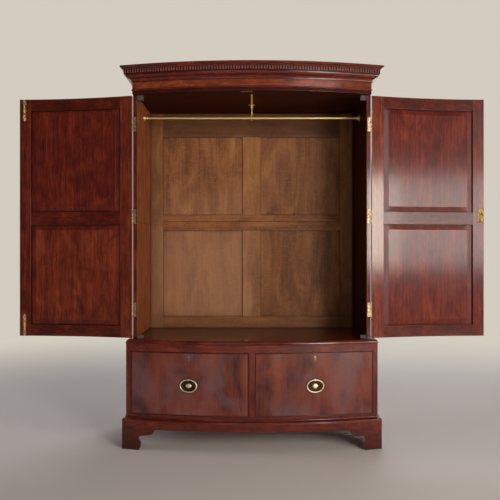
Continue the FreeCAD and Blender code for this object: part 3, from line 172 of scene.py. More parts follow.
class PressWood(bpy.types.PropertyGroup):
    mahogany_dark: colour_setting("Mahogany, dark", "Late wood and pores of the mahogany", "#2e0c07")
    mahogany_mid: colour_setting("Mahogany, middle", "Body colour of the mahogany", "#621d10")
    mahogany_light: colour_setting("Mahogany, light", "Ribbon stripes of the mahogany", "#90391f")
    flame_dark: colour_setting("Flame, dark", "Clouds of the figured drawer fronts", "#2f0e0b")
    flame_mid: colour_setting("Flame, middle", "Body colour of the figured drawer fronts", "#75301d")
    flame_light: colour_setting(
        "Flame, light", "Orange patches of the figured drawer fronts", "#89432b")
    # Partly painted sheen: the lilac haze of light that the drawers mirror, laid into their colour
    bloom: colour_setting(
        "Bloom", "Lilac haze that damp has raised in the polish of the drawers", "#7a5759")
    oak_dark: colour_setting("Oak, dark", "Open pores and late wood of the oak back", "#5f3817")
    oak_mid: colour_setting("Oak, middle", "Body colour of the oak back", "#945c30")
    oak_light: colour_setting("Oak, light", "Early wood and rays of the oak back", "#b67f4a")
    lining_light: colour_setting("Drawer lining, light", "Body colour of the drawer sides", "#b08a5c")
    lining_dark: colour_setting("Drawer lining, dark", "Late wood of the drawer sides", "#7b5733")
    arris: bpy.props.FloatProperty(
        name="Arris", description="Rounding of the edges of the boards",
        default=0.9 * MM, min=0.0, soft_max=3 * MM, unit="LENGTH")


class PressMetal(bpy.types.PropertyGroup):
    brass_pale: colour_setting("Pale brass", "Worn brass of the hinges", "#dcc5a0")
    brass_dark: colour_setting("Tarnish", "Brown tarnish in the hollows of the brass", "#3a2712")
    iron: colour_setting("Iron", "Steel of the lock bolts", "#8d8a86")


class PressStage(bpy.types.PropertyGroup):
    floor: colour_setting("Floor", "Colour of the studio floor", "#efeae1")
    wall: colour_setting("Wall", "Colour of the studio wall as the camera sees it", "#d3ccbf")
    window: power_setting("Window", "low light far to the right", 55.0)
    between: power_setting("Between", "faint light between window and glow", 25.0)
    glow: power_setting("Glow", "light that the right door mirrors as a haze", 70.0)
    over: power_setting("Over", "light above the glow", 30.0)
    front: power_setting("Front", "light beside the camera", 14.0)
    left: power_setting("Left", "light on the left side", 40.0)
    ceiling: power_setting("Ceiling", "light from above", 8.0)
    rear: power_setting("Rear", "light behind the press", 110.0)
    room: bpy.props.FloatProperty(
        name="Room", description="Strength of the even light of the room", default=0.07, min=0.0)


# ---------------------------------------------------------------- colours and nodes
def node(tree, kind, inputs=(), stops=(), **settings):
    """Adds a shader node and gives its outputs.

    inputs maps socket names or numbers to values or to other sockets; stops are the places and
    colours of a ramp.
    """
    made = tree.nodes.new("ShaderNode" + kind)
    for key, value in settings.items():
        setattr(made, key, value)
    for key, value in dict(inputs).items():
        if isinstance(value, bpy.types.NodeSocket):
            tree.links.new(value, made.inputs[key])
        else:
            made.inputs[key].default_value = value
    if stops:
        marks = made.color_ramp.elements
        while len(marks) < len(stops):
            marks.new(0.5)
        for mark, (place, colour) in zip(marks, stops):
            mark.position = place
            mark.color = colour
    return made.outputs


def blank_material(name):
    """Material with an empty node tree."""
    made = bpy.data.materials.new(name)
    made.use_nodes = True
    made.node_tree.nodes.clear()
    return made, made.node_tree


def shade(tree, relief, strength, depth, surface):
    """Ends a material with its bump, whose depth is in metres, its shader and its output."""
    bump = node(tree, "Bump", {"Strength": strength, "Distance": depth, "Height": relief})[0]
    shader = node(tree, "BsdfPrincipled", {**surface, "Normal": bump})[0]
    node(tree, "OutputMaterial", {"Surface": shader})


def laid_over(tree, colour, *coats):
    """Colour under coats of a share and a colour each, laid on one after the other."""
    for share, coat in coats:
        # Sockets 6 and 7 and output 2 are the colours of a Mix node
        colour = node(tree, "Mix", {0: share, 6: colour, 7: coat}, data_type="RGBA")[2]
    return colour


def grain_place(tree, axis):
    """Coordinates in metres with x along the grain, moved on from board to board."""
    board = node(tree, "Attribute", attribute_name="board")["Fac"]
    shift = node(tree, "VectorMath", {0: (3.7, 1.9, 2.3), "Scale": board}, operation="SCALE")[0]
    turn = ((0, 0, 0), (0, 0, math.pi / 2), (0, math.pi / 2, 0))[axis]
    place = node(tree, "TexCoord")["Object"]
    turned = node(tree, "Mapping", {"Vector": place, "Rotation": turn})[0]
    return node(tree, "VectorMath", {0: turned, 1: shift}, operation="ADD")[0]


def streaks(tree, place, length, width, detail=3.0, rough=0.55, distortion=0.0):
    """Noise drawn out along the grain; length and width are the size of one streak in metres."""
    scaled = node(tree, "VectorMath", {0: place, 1: (1 / length, 1 / width, 1 / width)},
                  operation="MULTIPLY")[0]
    return node(tree, "TexNoise", {
        "Vector": scaled, "Scale": 1.0, "Detail": detail, "Roughness": rough,
        "Distortion": distortion})["Fac"]


def shows_room(tree, depth, near, far):
    """1 for rays that see the plain room: all from the camera, and mirrored or refracted ones
    where the depth runs from near to far behind the press."""
    path = node(tree, "LightPath")
    bent = node(tree, "Math", {0: path["Is Glossy Ray"], 1: path["Is Transmission Ray"]},
                operation="ADD")[0]
    depth = node(tree, "SeparateXYZ", {0: depth})["Y"]
    behind = node(tree, "MapRange", {"Value": depth, "From Min": near, "From Max": far})[0]
    bent = node(tree, "Math", {0: bent, 1: behind}, operation="MULTIPLY")[0]
    return node(tree, "Math", {0: path["Is Camera Ray"], 1: bent}, operation="ADD",
                use_clamp=True)[0]


def corner_dirt(tree, reach, most):
    """Share of painted shade in inner corners and gaps, which stands also for old wax and dust there.
    """
    open_share = node(tree, "AmbientOcclusion", {"Distance": reach}, samples=8)["AO"]
    return node(tree, "MapRange", {
        "Value": open_share, "From Min": 0.45, "From Max": 0.93, "To Min": most, "To Max": 0.0})[0]


# ---------------------------------------------------------------- materials
def mahogany(axis, finish="polished"):
    """Cuban mahogany, planed and stained red: ribbon stripes and short dark pores."""
    name = finish + "_mahogany_" + axis
    if name in bpy.data.materials:
        return bpy.data.materials[name]
    wood = bpy.context.scene.press_wood
    own = MAHOGANIES[finish]
    made, tree = blank_material(name)
    place = grain_place(tree, GRAIN_AXES[axis])
    # Ribbon stripes 13 mm wide, and growth lines 3 mm apart
    ribbon = streaks(tree, place, 420 * MM, 13 * MM, distortion=0.5)
    fine = streaks(tree, place, 70 * MM, 3.0 * MM, detail=2.0)
    # Pores are 0.2 mm wide in the wood, drawn 1 mm wide so that they show
    pores = streaks(tree, place, 14 * MM, 1.0 * MM, detail=1.0)
    mottle = streaks(tree, place, 120 * MM, 70 * MM, detail=4.0, rough=0.6, distortion=0.6)
    tone = node(tree, "Mix", {"Factor": 0.55, "A": ribbon, "B": fine})[0]
    coats = []
    if finish == "figured":
        # Clouds of the crotch veneer, 130 mm across, lean and part as they rise
        cloud = streaks(tree, place, 260 * MM, 130 * MM, rough=0.5, distortion=0.8)
        tone = node(tree, "Mix", {"Factor": 0.68, "A": tone, "B": cloud})[0]
        stops = (0.36, wood.flame_dark), (0.49, wood.flame_mid), (0.64, wood.flame_light)
        # A lilac bloom in the polish, in patches 170 mm across, which is partly painted sheen:
        # reflected light laid into the colour
        damp = streaks(tree, place, 210 * MM, 170 * MM, detail=2.0, rough=0.45, distortion=0.3)
        bloom = node(tree, "MapRange", {
            "Value": damp, "From Min": 0.41, "From Max": 0.68, "To Min": 0.04, "To Max": 0.56},
            **SOFT_ENDS)[0]
        coats.append((bloom, wood.bloom))
    else:
        tone = node(tree, "Mix", {"Factor": 0.4, "A": tone, "B": mottle})[0]
        tones = [linear(code) for code in own.get("tones", ())]
        tones = tones or (wood.mahogany_dark, wood.mahogany_mid, wood.mahogany_light)
        stops = list(zip((0.33, 0.49, 0.66), tones))
    colour = node(tree, "ValToRGB", {0: tone}, stops)[0]
    pore_mask = node(tree, "MapRange", {
        "Value": pores, "From Min": 0.60, "From Max": 0.72, "To Max": 0.55})[0]
    coats.append((pore_mask, wood.mahogany_dark))
    if "stain_and_painted_light" in own:
        share, stain_and_painted_light = own["stain_and_painted_light"]
        coats.append((share, linear(stain_and_painted_light)))
    # Darker towards the floor, up to 0.19 m
    height = node(tree, "SeparateXYZ", {0: node(tree, "TexCoord")["Object"]})["Z"]
    darker_near_floor = node(tree, "MapRange", {
        "Value": height, "From Max": 0.19, "To Min": 0.7, "To Max": 0.0})[0]
    coats.append((darker_near_floor, wood.mahogany_dark))
    # Painted shade in inner corners and gaps, 16 mm deep, which stands also for old wax there
    coats.append((corner_dirt(tree, 16 * MM, 0.9), linear("#0d0302")))
    dull = own.get("dull", 0.0)
    coat_weight, coat_rough = own.get("coat", (0.8, 0.13))
    relief = node(tree, "Mix", {"Factor": 0.5, "A": fine, "B": pore_mask})[0]
    shade(tree, relief, 0.10, 0.3 * MM, {
        "Base Color": laid_over(tree, colour, *coats),
        "Roughness": node(tree, "Mix", {"Factor": mottle, "A": 0.34 + dull, "B": 0.52 + dull})[0],
        "IOR": 1.2,                     # wood under shellac, whose gloss is the coat's
        "Coat Weight": coat_weight, "Coat Roughness": coat_rough, "Coat IOR": 1.5})
    return made


def waxed_oak(axis, name="waxed_oak", tones=None, polish=0.08):
    """Quarter-sawn oak, planed and waxed: open pores, pale silky rays and a dull sheen."""
    name = name + "_" + axis
    if name in bpy.data.materials:
        return bpy.data.materials[name]
    wood = bpy.context.scene.press_wood
    dark, mid, light = tones or (wood.oak_dark, wood.oak_mid, wood.oak_light)
    made, tree = blank_material(name)
    place = grain_place(tree, GRAIN_AXES[axis])
    rings = streaks(tree, place, 300 * MM, 9 * MM, detail=4.0, distortion=0.8)
    broad = streaks(tree, place, 380 * MM, 120 * MM, detail=4.0, rough=0.6, distortion=1.0)
    # Pores are 0.3 mm wide, drawn 1.2 mm wide so that they show
    pores = streaks(tree, place, 22 * MM, 1.2 * MM, detail=1.0)
    rays = streaks(tree, place, 5 * MM, 26 * MM, detail=2.0, distortion=1.0)
    tone = node(tree, "Mix", {"Factor": 0.7, "A": rings, "B": broad})[0]
    colour = node(tree, "ValToRGB", {0: tone}, ((0.32, dark), (0.50, mid), (0.68, light)))[0]
    pore_mask = node(tree, "MapRange", {
        "Value": pores, "From Min": 0.56, "From Max": 0.70, "To Max": 0.6})[0]
    ray_mask = node(tree, "MapRange", {
        "Value": rays, "From Min": 0.54, "From Max": 0.68, "To Max": 0.4})[0]
    coats = [(pore_mask, dark), (ray_mask, light)]
    where = node(tree, "SeparateXYZ", {0: node(tree, "TexCoord")["Object"]})
    if polish and axis == "across":
        # Painted shade: the top rail, in the shade of the ceiling, is made darker
        stain_and_painted_light = node(tree, "MapRange", {
            "Value": where["Z"], "From Min": 1.68, "From Max": 1.74, "To Max": 0.6})[0]
        coats.append((stain_and_painted_light, linear("#4a2a12")))
    if polish and axis == "upright":
        # Painted light: the left half, lit from the right, is made paler, most of all low down
        left = node(tree, "MapRange", {
            "Value": where["X"], "From Min": 0.12, "From Max": -0.10}, **SOFT_ENDS)[0]
        low = node(tree, "MapRange", {
            "Value": where["Z"], "From Min": 1.5, "From Max": 1.0, "To Max": 0.3})[0]
        painted_light_mask = node(tree, "Math", {0: left, 1: low}, operation="MULTIPLY")[0]
        coats.append((painted_light_mask, linear("#cfa27e")))
    # Painted shade in inner corners and gaps, 14 mm deep, which stands also for old wax there
    coats.append((corner_dirt(tree, 14 * MM, 0.85), linear("#1c0f06")))
    # Painted shade near the ceiling, sides and floor of the case, 160 mm deep
    coats.append((corner_dirt(tree, 160 * MM, 0.6), dark))
    relief = node(tree, "Mix", {"Factor": 0.6, "A": rings, "B": pore_mask})[0]
    shade(tree, relief, 0.25, 0.4 * MM, {
        "Base Color": laid_over(tree, colour, *coats),
        "Roughness": node(tree, "Mix", {"Factor": broad, "A": 0.5, "B": 0.7})[0],
        "IOR": 1.35, "Coat Weight": polish, "Coat Roughness": 0.35})
    return made


def drawer_lining(axis):
    """Thin quartered oak of drawer sides and bottoms, left bare, dry and paler than the back."""
    wood = bpy.context.scene.press_wood
    tones = (wood.lining_dark, wood.lining_light, linear("#c4a070"))
    return waxed_oak(axis, "bare_lining_oak", tones, polish=0.0)


def sawn_deal(axis):
    """Pine of the hidden boards, sawn and left bare, greyed by dust."""
    tones = [linear(code) for code in ("#5d4630", "#8a6d4c", "#a58a66")]
    return waxed_oak(axis, "sawn_deal", tones, polish=0.0)


def lacquered(name):
    """Metal, rubbed and lacquered: fine rubbing marks, and tarnish that stays in patches."""
    if name in bpy.data.materials:
        return bpy.data.materials[name]
    body, hollow, tarnish, rough, patch, rubbed = METALS[name]
    body, hollow = [linear(code) if code[0] == "#" else getattr(bpy.context.scene.press_metal, code)
                    for code in (body, hollow)]
    made, tree = blank_material(name)
    place = node(tree, "TexCoord")["Object"]
    patches = node(tree, "TexNoise", {
        "Vector": place, "Scale": 1 / (patch * MM), "Detail": 4.0, "Roughness": 0.6})["Fac"]
    # Rubbing marks are hair fine, drawn 0.8 mm apart
    rubs = node(tree, "TexNoise", {"Vector": place, "Scale": 1 / (0.8 * MM), "Detail": 2.0})["Fac"]
    mask = node(tree, "MapRange", {
        "Value": patches, "From Min": 0.62 - tarnish * 0.6, "From Max": 0.80 - tarnish * 0.3,
        "To Max": 0.85})[0]
    shade(tree, rubs, rubbed, 0.1 * MM, {
        "Base Color": laid_over(tree, body, (mask, hollow)), "Metallic": 1.0,
        "Roughness": node(tree, "Mix", {"Factor": mask, "A": rough, "B": rough + 0.25})[0]})
    return made


def painted_block():
    """Softwood glue block under old size and whiting: chalky, cool and dull."""
    name = "sized_softwood"
    if name in bpy.data.materials:
        return bpy.data.materials[name]
    made, tree = blank_material(name)
    place = node(tree, "TexCoord")["Object"]
    cloud = node(tree, "TexNoise", {
        "Vector": place, "Scale": 60.0, "Detail": 5.0, "Roughness": 0.65})["Fac"]
    tones = [linear(code) for code in ("#3d383b", "#585255", "#6f686a")]
    colour = node(tree, "ValToRGB", {0: cloud}, list(zip((0.35, 0.55, 0.75), tones)))[0]
    shade(tree, cloud, 0.2, 0.4 * MM, {"Base Color": colour, "Roughness": 0.75})
    return made


def mahoganies(faces="polished", arrises="worn"):
    """Finishes of a mahogany board: of its faces and of its arrises."""
    return lambda axis: [mahogany(axis, faces), mahogany(axis, arrises)]


# ---------------------------------------------------------------- modelling
def only(*objects):
    """Selects these objects and nothing else; the first is active."""
    bpy.ops.object.select_all(action="DESELECT")
    for obj in objects:
        obj.select_set(True)
    bpy.context.view_layer.objects.active = objects[0]


def edit(obj):
    """Opens one object in edit mode, with all of it selected."""
    only(obj)
    bpy.ops.object.mode_set(mode="EDIT")
    bpy.ops.mesh.select_all(action="SELECT")


def leave_edit():
    """Goes back to object mode."""
    bpy.ops.object.mode_set(mode="OBJECT")


def extrude(way):
    """Extrudes what is selected along a vector."""
    bpy.ops.mesh.extrude_region_move(TRANSFORM_OT_translate={"value": way})


def primitive(name, kind, **sizes):
    """Adds one of Blender's primitives at its size and place, on its own."""
    bpy.ops.object.select_all(action="DESELECT")
    getattr(bpy.ops.mesh, "primitive_" + kind + "_add")(**sizes)
    obj = bpy.context.object
    obj.name = name
    return obj


def pick(obj, kind, test):
    """In edit mode, selects the edges or faces that pass a test, and nothing else."""
    bpy.ops.mesh.select_mode(type={"edges": "EDGE", "faces": "FACE"}[kind])
    bpy.ops.mesh.select_all(action="DESELECT")
    drawn = bmesh.from_edit_mesh(obj.data)
    for part in getattr(drawn, kind):
        if test(part):
            part.select_set(True)
    bmesh.update_edit_mesh(obj.data)


def joined(name, *objects):
    """Makes one object of several."""
    only(*objects)
    if len(objects) > 1:
        bpy.ops.object.join()
    made = bpy.context.view_layer.objects.active
    made.name = name
    return made


def number_board(obj, seed):
    """Gives a board its own place in the grain, so that no two boards run on."""
    mark = obj.data.attributes.new("board", "FLOAT", "POINT")
    value = random.Random(seed).uniform(1.0, 9.0)
    mark.data.foreach_set("value", [value] * len(obj.data.vertices))


def longest_axis(obj):
    """Name of the grain direction along the longest side of a board."""
    sides = [max(v.co[i] for v in obj.data.vertices) - min(v.co[i] for v in obj.data.vertices)
             for i in range(3)]
    return list(GRAIN_AXES)[sides.index(max(sides))]


def soften(obj, width, shortest, sharp=math.radians(35.0)):
    """Rounds the long sharp edges of a board; the rounded strip takes its second material."""
    edit(obj)
    pick(obj, "edges", lambda e: len(e.link_faces) == 2 and e.calc_length() > shortest
         and e.calc_face_angle(0.0) > sharp)
    bpy.ops.transform.edge_bevelweight(value=1.0)
    leave_edit()
    rounding = obj.modifiers.new("Arris", "BEVEL")
    rounding.width, rounding.segments = width, 2
    rounding.limit_method = "WEIGHT"
    rounding.use_clamp_overlap = False
    rounding.material = 1
    bpy.ops.object.modifier_apply(modifier=rounding.name)


def part_solids(obj):
    """Separates a node's loose triangles into its boards, which follow one another."""
    mark = obj.data.attributes.new("solid", "INT", "FACE")
    places = [tuple(round(c, 7) for c in v.co) for v in obj.data.vertices]
    count, unmatched = 0, set()
    for face in obj.data.polygons:
        mark.data[face.index].value = count
        ring = [places[i] for i in face.vertices]
        for start, end in zip(ring, ring[1:] + ring[:1]):
            if (end, start) in unmatched:
                unmatched.remove((end, start))
            else:
                unmatched.add((start, end))
        if not unmatched:
            count += 1
    parts = [obj]
    for index in range(count - 1):
        edit(obj)
        layer = bmesh.from_edit_mesh(obj.data).faces.layers.int["solid"]
        pick(obj, "faces", lambda f: f[layer] == index)
        bpy.ops.mesh.separate(type="SELECTED")
        leave_edit()
        parts += [part for part in bpy.context.selected_objects if part not in parts]
    for part in parts:
        part.data.attributes.remove(part.data.attributes["solid"])
        edit(part)
        bpy.ops.mesh.customdata_custom_splitnormals_clear()
        bpy.ops.mesh.remove_doubles(threshold=0.005 * MM)
        bpy.ops.mesh.dissolve_limited(angle_limit=math.radians(0.1))
        leave_edit()
    return parts


def boards(cad_node, body, finish, slot="mahogany", arris=None, shortest=6 * MM, axis=None,
           angle=30.0):
    """A copy of a node's boards with rounded arrises, each with its own grain.

    finish(axis) gives the material of a board and, last, the material of its arrises.
    """
    width = bpy.context.scene.press_wood.arris if arris is None else arris
    copy = bpy.data.objects.new(cad_node + "_finished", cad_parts[cad_node].data.copy())
    bpy.context.scene.collection.objects.link(copy)
    copy.data.materials.clear()
    parts = part_solids(copy)
    for index, part in enumerate(parts):
        for material in finish(axis or longest_axis(part)):
            part.data.materials.append(material)
        soften(part, width, shortest)
        number_board(part, cad_node + str(index))
    made = joined(cad_node + "_finished", *parts)
    smooth(made, angle)
    return settle(made, body, slot, cad_node)


def smooth(obj, angle=35):
    """Smooth shading up to an angle, with broad faces kept flat beside their rounded edges."""
    only(obj)
    bpy.ops.object.shade_smooth_by_angle(angle=math.radians(angle))
    even = obj.modifiers.new("Even", "WEIGHTED_NORMAL")
    even.keep_sharp = True
    even.weight = 90
    bpy.ops.object.modifier_apply(modifier=even.name)


def settle(obj, body, slot, *cad_nodes):
    """Puts a finished piece on its body, in place of the nodes that it stands for."""
    only(obj)
    bpy.ops.object.transform_apply()
    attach(obj, body)
    if cad_nodes:
        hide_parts(*cad_nodes)
    return obj


def paint(slot, material, *cad_nodes):
    """Gives CAD nodes that keep their shape their finish."""
    for name in cad_nodes:
        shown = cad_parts[name]
        shown.data.materials.clear()
        shown.data.materials.append(material)


def outline(name, points, filled=True):
    """Draws a closed outline point by point and leaves it selected in edit mode."""
    obj = primitive(name, "plane", size=0.01)
    edit(obj)
    bpy.ops.mesh.select_mode(type="VERT")
    bpy.ops.mesh.merge(type="CENTER")
    bpy.ops.transform.translate(value=points[0])
    for here, there in zip(points, points[1:] + points[:1]):
        extrude(there - here)
    bpy.ops.mesh.select_all(action="SELECT")
    bpy.ops.mesh.remove_doubles(threshold=0.001 * MM)
    if filled:
        bpy.ops.mesh.edge_face_add()
    return obj


def arc(start, end, bulge, steps=7):
    """Points of a shallow curve from start to end, bulging by a share of its length."""
    run = end - start
    side = Vector((-run.y, run.x))
    return [start + run * t + side * bulge * 4 * t * (1 - t)
            for t in (i / steps for i in range(1, steps + 1))]


def s_curve(start, end, bulge):
    """Points of two arcs from start to end, of which the second bulges the other way."""
    middle = (start + end) / 2
    return [*arc(start, middle, bulge), *arc(middle, end, -bulge)]


def close_mesh(obj):
    """Merges doubles and turns all faces outwards."""
    edit(obj)
    bpy.ops.mesh.remove_doubles(threshold=0.002 * MM)
    bpy.ops.mesh.normals_make_consistent()
    leave_edit()


def moulding(name, profile, half, bow, inner=(0.0, 0.0)):
    """Front and two side lengths of a moulding, spun round the bow and cut at the mitres.

    The profile holds (out, z) points; inner is how far out its flat back lies, at the sides
    and at the front.
    """
    def corner(side_out, front_out):
        x = half + side_out
        return Vector((x, BOW_AXIS_Y - math.sqrt((bow + front_out) ** 2 - x ** 2), 0))

    def section(back):
        return [Vector((back, profile[0].y)), *profile, Vector((back, profile[-1].y))]

    reach = max(p.x for p in profile)
    at = corner(*inner)
    mitre = (corner(reach, reach) - at).normalized()

    def cut_mitre(side, **keep):
        bpy.ops.mesh.select_all(action="SELECT")
        bpy.ops.mesh.bisect(plane_co=(side * at.x, at.y, 0), use_fill=True,
                            plane_no=(-side * mitre.y, mitre.x, 0), **keep)

    sweep = math.asin((half + reach + PAST_MITRE) / bow)
    front = outline(name + "_front", [
        Vector((-(bow + p.x) * math.sin(sweep), BOW_AXIS_Y - (bow + p.x) * math.cos(sweep), p.y))
        for p in section(inner[1])])
    # A positive spin runs clockwise as seen from above
    bpy.ops.mesh.spin(steps=56, angle=-2 * sweep, center=(0, BOW_AXIS_Y, 0), axis=(0, 0, 1))
    for side in (-1, 1):
        cut_mitre(side, clear_outer=True)
    leave_edit()
    front.data.materials.append(mahogany("across"))
    lengths = [front]
    for side in (-1, 1):
        run = outline(name + "_side", [Vector((side * (half + p.x), BACK_Y, p.y))
                                       for p in section(inner[0])])
        far = corner(reach, reach).y - PAST_MITRE
        extrude((0, far - BACK_Y, 0))
        cut_mitre(side, clear_inner=True)
        leave_edit()
        run.data.materials.append(mahogany("deep"))
        lengths.append(run)
    for index, length in enumerate(lengths):
        close_mesh(length)
        number_board(length, name + str(index))
    made = joined(name, *lengths)
    smooth(made, 28)
    return made


def placed(place, turn, axis="Z"):
    """Matrix that turns a shape about an axis and takes it to a place."""
    return Matrix.Translation(place) @ Matrix.Rotation(turn, 4, axis)


def at_bow(x, bow, z):
    """Matrix that takes a shape drawn facing -Y to a place on a bowed face."""
    return placed((x, BOW_AXIS_Y - math.sqrt(bow ** 2 - x ** 2), z), math.asin(x / bow))


def recoat(obj, material, test):
    """Gives another finish to the faces that pass a test of the face and its middle."""
    obj.data.materials.append(material)
    edit(obj)
    pick(obj, "faces", lambda f: test(f, f.calc_center_median()))
    obj.active_material_index = len(obj.material_slots) - 1
    bpy.ops.object.material_slot_assign()
    leave_edit()


def rail_of_wood(name, low, high):
    """Plain rail between two corners, with rubbed arrises."""
    low, high = Vector(low), Vector(high)
    obj = primitive(name, "cube", size=1.0, location=(low + high) / 2)
    obj.scale = high - low
    bpy.ops.object.transform_apply()
    for material in mahoganies()(longest_axis(obj)):
        obj.data.materials.append(material)
    soften(obj, 0.8 * MM, 6 * MM)
    number_board(obj, name)
    return obj


def turned(name, rings, sides):
    """Closed shape drawn ring by ring: half width, half height and depth along Y, in mm.

    A round ring has its radius in place of both halves.
    """
    obj = primitive(name, "circle", vertices=sides, radius=1.0, fill_type="NGON",
                    rotation=(math.pi / 2, 0, 0))
    bpy.ops.object.transform_apply()
    edit(obj)
    (wide, tall, deep), *others = [(ring[0] * MM, ring[-2] * MM, ring[-1] * MM) for ring in rings]
    bpy.ops.transform.resize(value=(wide, 1, tall), center_override=(0, 0, 0))
    bpy.ops.transform.translate(value=(0, deep, 0))
    for new_wide, new_tall, new_deep in others:
        extrude((0, new_deep - deep, 0))
        bpy.ops.transform.resize(value=(new_wide / wide, 1, new_tall / tall),
                                 center_override=(0, new_deep, 0))
        wide, tall, deep = new_wide, new_tall, new_deep
    leave_edit()
    close_mesh(obj)
    return obj


def coated(obj, material):
    """Gives a made piece its only finish."""
    obj.data.materials.append(material)
    return obj


def ring_of_wire(name, centre, radius, section):
    """Ring about the X axis with a rounded section: half thickness and half width."""
    thick, wide = section
    corner = min(thick, wide) * 0.5
    points = []
    for way_y, way_x, turn in ((1, 1, 0), (-1, 1, 90), (-1, -1, 180), (1, -1, 270)):
        for part in range(3):
            angle = math.radians(turn + part * 45)
            points.append(Vector((way_x * (wide - corner) + corner * math.sin(angle),
                                  centre.y, centre.z + radius
                                  + way_y * (thick - corner) + corner * math.cos(angle))))
    obj = outline(name, points, filled=False)
    bpy.ops.mesh.spin(steps=32, angle=2 * math.pi, center=centre, axis=(1, 0, 0))
    leave_edit()
    close_mesh(obj)
    return obj


def out_of_case(at):
    """How far a point stands out from the front or the sides of the upper case."""
    return max(math.hypot(at.x, BOW_AXIS_Y - at.y) - CASE_BOW, abs(at.x) - CASE_HALF)


def out_on_plate(at):
    """How far out a point of a handle's oval plate lies, as a share of the plate."""
    return math.hypot(at.x / (PLATE_WIDE * MM), at.z / (PLATE_TALL * MM))


# ---------------------------------------------------------------- operators
class PRESS_OT_carcass(bpy.types.Operator):
    """Boards of the plinth, chest and upper case"""
    bl_idname = "press.carcass"
    bl_label = "Carcass Boards"

    def execute(self, context):
        for name in ("front_feet", "rear_feet", "plinth_aprons", "chest_sides",
                     "chest_bottom_board", "chest_top_rail", "drawer_partition"):
            boards(name, "case", mahoganies(), axis=GRAIN_OF.get(name))
        boards("frieze_boards", "case", mahoganies("ruddy"))
        # The ceiling board is darker as painted shade, under its dull oil
        boards("upper_ceiling_board", "case", mahoganies("oiled", "polished"))
        boards("upper_floor_board", "case", mahoganies("dark"))
        sides = boards("upper_sides", "case", mahoganies(), axis="upright")
        # Painted light and shade: the left inner face, lit from the right, is made paler, and the
        # right one darker
        for way, finish in ((1, "faded"), (-1, "oiled")):
            recoat(sides, mahogany("upright", finish),
                   lambda f, at: f.normal.x * way > 0.7 and -CASE_INSIDE < at.x * way < 0)
        paint("drawer_lining", sawn_deal("across"), "chest_back", "chest_top_board",
              "cornice_dust_board")
        paint("drawer_lining", sawn_deal("deep"), "drawer_guides")
        paint("drawer_lining", sawn_deal("upright"), "foot_blocks")
        boards("corner_blocks", "case", lambda axis: [painted_block()] * 2, "corner_block",
               arris=1.5 * MM)
        return {"FINISHED"}


class PRESS_OT_back(bpy.types.Operator):
    """Framed and panelled oak back of the upper case"""
    bl_idname = "press.back"
    bl_label = "Oak Back"

    def execute(self, context):
        for name, axis in (("back_frame", None), ("back_panels", "upright")):
            boards(name, "case", lambda way: [waxed_oak(way)] * 2, "oak_back", arris=1.2 * MM,
                   axis=axis)
        return {"FINISHED"}


class PRESS_OT_mouldings(bpy.types.Operator):
    """Plinth, waist and cornice mouldings, run round the bowed front"""
    bl_idname = "press.mouldings"
    bl_label = "Mouldings"

    def execute(self, context):
        def v(out, z):
            return Vector((out * MM, z))

        # Plinth: a flat, then an ogee up to the chest
        foot, neck = v(0, PLINTH_FOOT + 4 * MM), v(-17, PLINTH_TOP - 2 * MM)
        plinth = [v(0, PLINTH_FOOT), foot, *s_curve(foot, neck, -0.17), v(-17, PLINTH_TOP)]
        ogee = moulding("plinth_ogee", plinth, PLINTH_HALF, PLINTH_BOW,
                        (-PLINTH_DEEP, -PLINTH_DEEP))
        rail = rail_of_wood("plinth_rear_rail",
                            (-REAR_RAIL_HALF, BACK_Y - REAR_RAIL_DEEP, PLINTH_FOOT),
                            (REAR_RAIL_HALF, BACK_Y, PLINTH_TOP))
        settle(joined("plinth_ogee", ogee, rail), "case", "mahogany", "plinth_moulding")

        # Waist: a bead, then a thumb up to the doors
        bead = WAIST_FOOT + 6 * MM
        waist = [v(0, WAIST_FOOT), *arc(v(0, WAIST_FOOT), v(0, bead), -0.5, steps=8),
                 *arc(v(0, bead), v(-14, WAIST_TOP), -0.207, steps=10)]
        settle(moulding("waist_thumb", waist, CHEST_HALF, CHEST_BOW,
                        (CASE_HALF - CHEST_HALF + WAIST_FIT, CASE_BOW - CHEST_BOW + WAIST_FIT)),
               "case", "mahogany", "waist_moulding")

        # Cornice: bead under the frieze, bed mould over it, crown on the dentils
        low, high = CORNICE_FOOT - 4.5 * MM, CORNICE_FOOT + 4.5 * MM
        bead = [v(0, low), *arc(v(0, low), v(0, high), -0.5, steps=10)]
        foot, neck = v(4, FRIEZE_TOP + 4 * MM), v(30, DENTIL_FOOT - 8 * MM)
        bed = [v(4, FRIEZE_TOP), foot, *s_curve(foot, neck, 0.14),
               v(30, DENTIL_FOOT - 4 * MM), v(34, DENTIL_FOOT - 4 * MM), v(34, DENTIL_FOOT)]
        settle(joined("bed_mould", moulding("frieze_bead", bead, CASE_HALF, CASE_BOW),
                      moulding("bed_ogee", bed, CASE_HALF, CASE_BOW)),
               "case", "mahogany", "cornice_mouldings")
        foot, lip = v(45, DENTIL_TOP), v(57.7, CROWN_TOP - 6 * MM)
        crown = [foot, *s_curve(foot, lip, 0.14), v(58.5, CROWN_TOP - 5.2 * MM),
                 v(58.5, CROWN_TOP - 0.8 * MM), v(57.7, CROWN_TOP)]
        settle(moulding("crown_cyma", crown, CASE_HALF, CASE_BOW),
               "case", "mahogany", "cornice_crown")
        # The dentils are paler as a painted highlight, and the ground behind them darker as painted
        # shade
        teeth = boards("cornice_dentils", "case", mahoganies("rubbed", "rubbed"),
                       arris=1.2 * MM, shortest=3 * MM, angle=40.0)
        recoat(teeth, mahogany("across", "grimed"), lambda f, at: out_of_case(at) < DENTIL_GROUND)
        return {"FINISHED"}


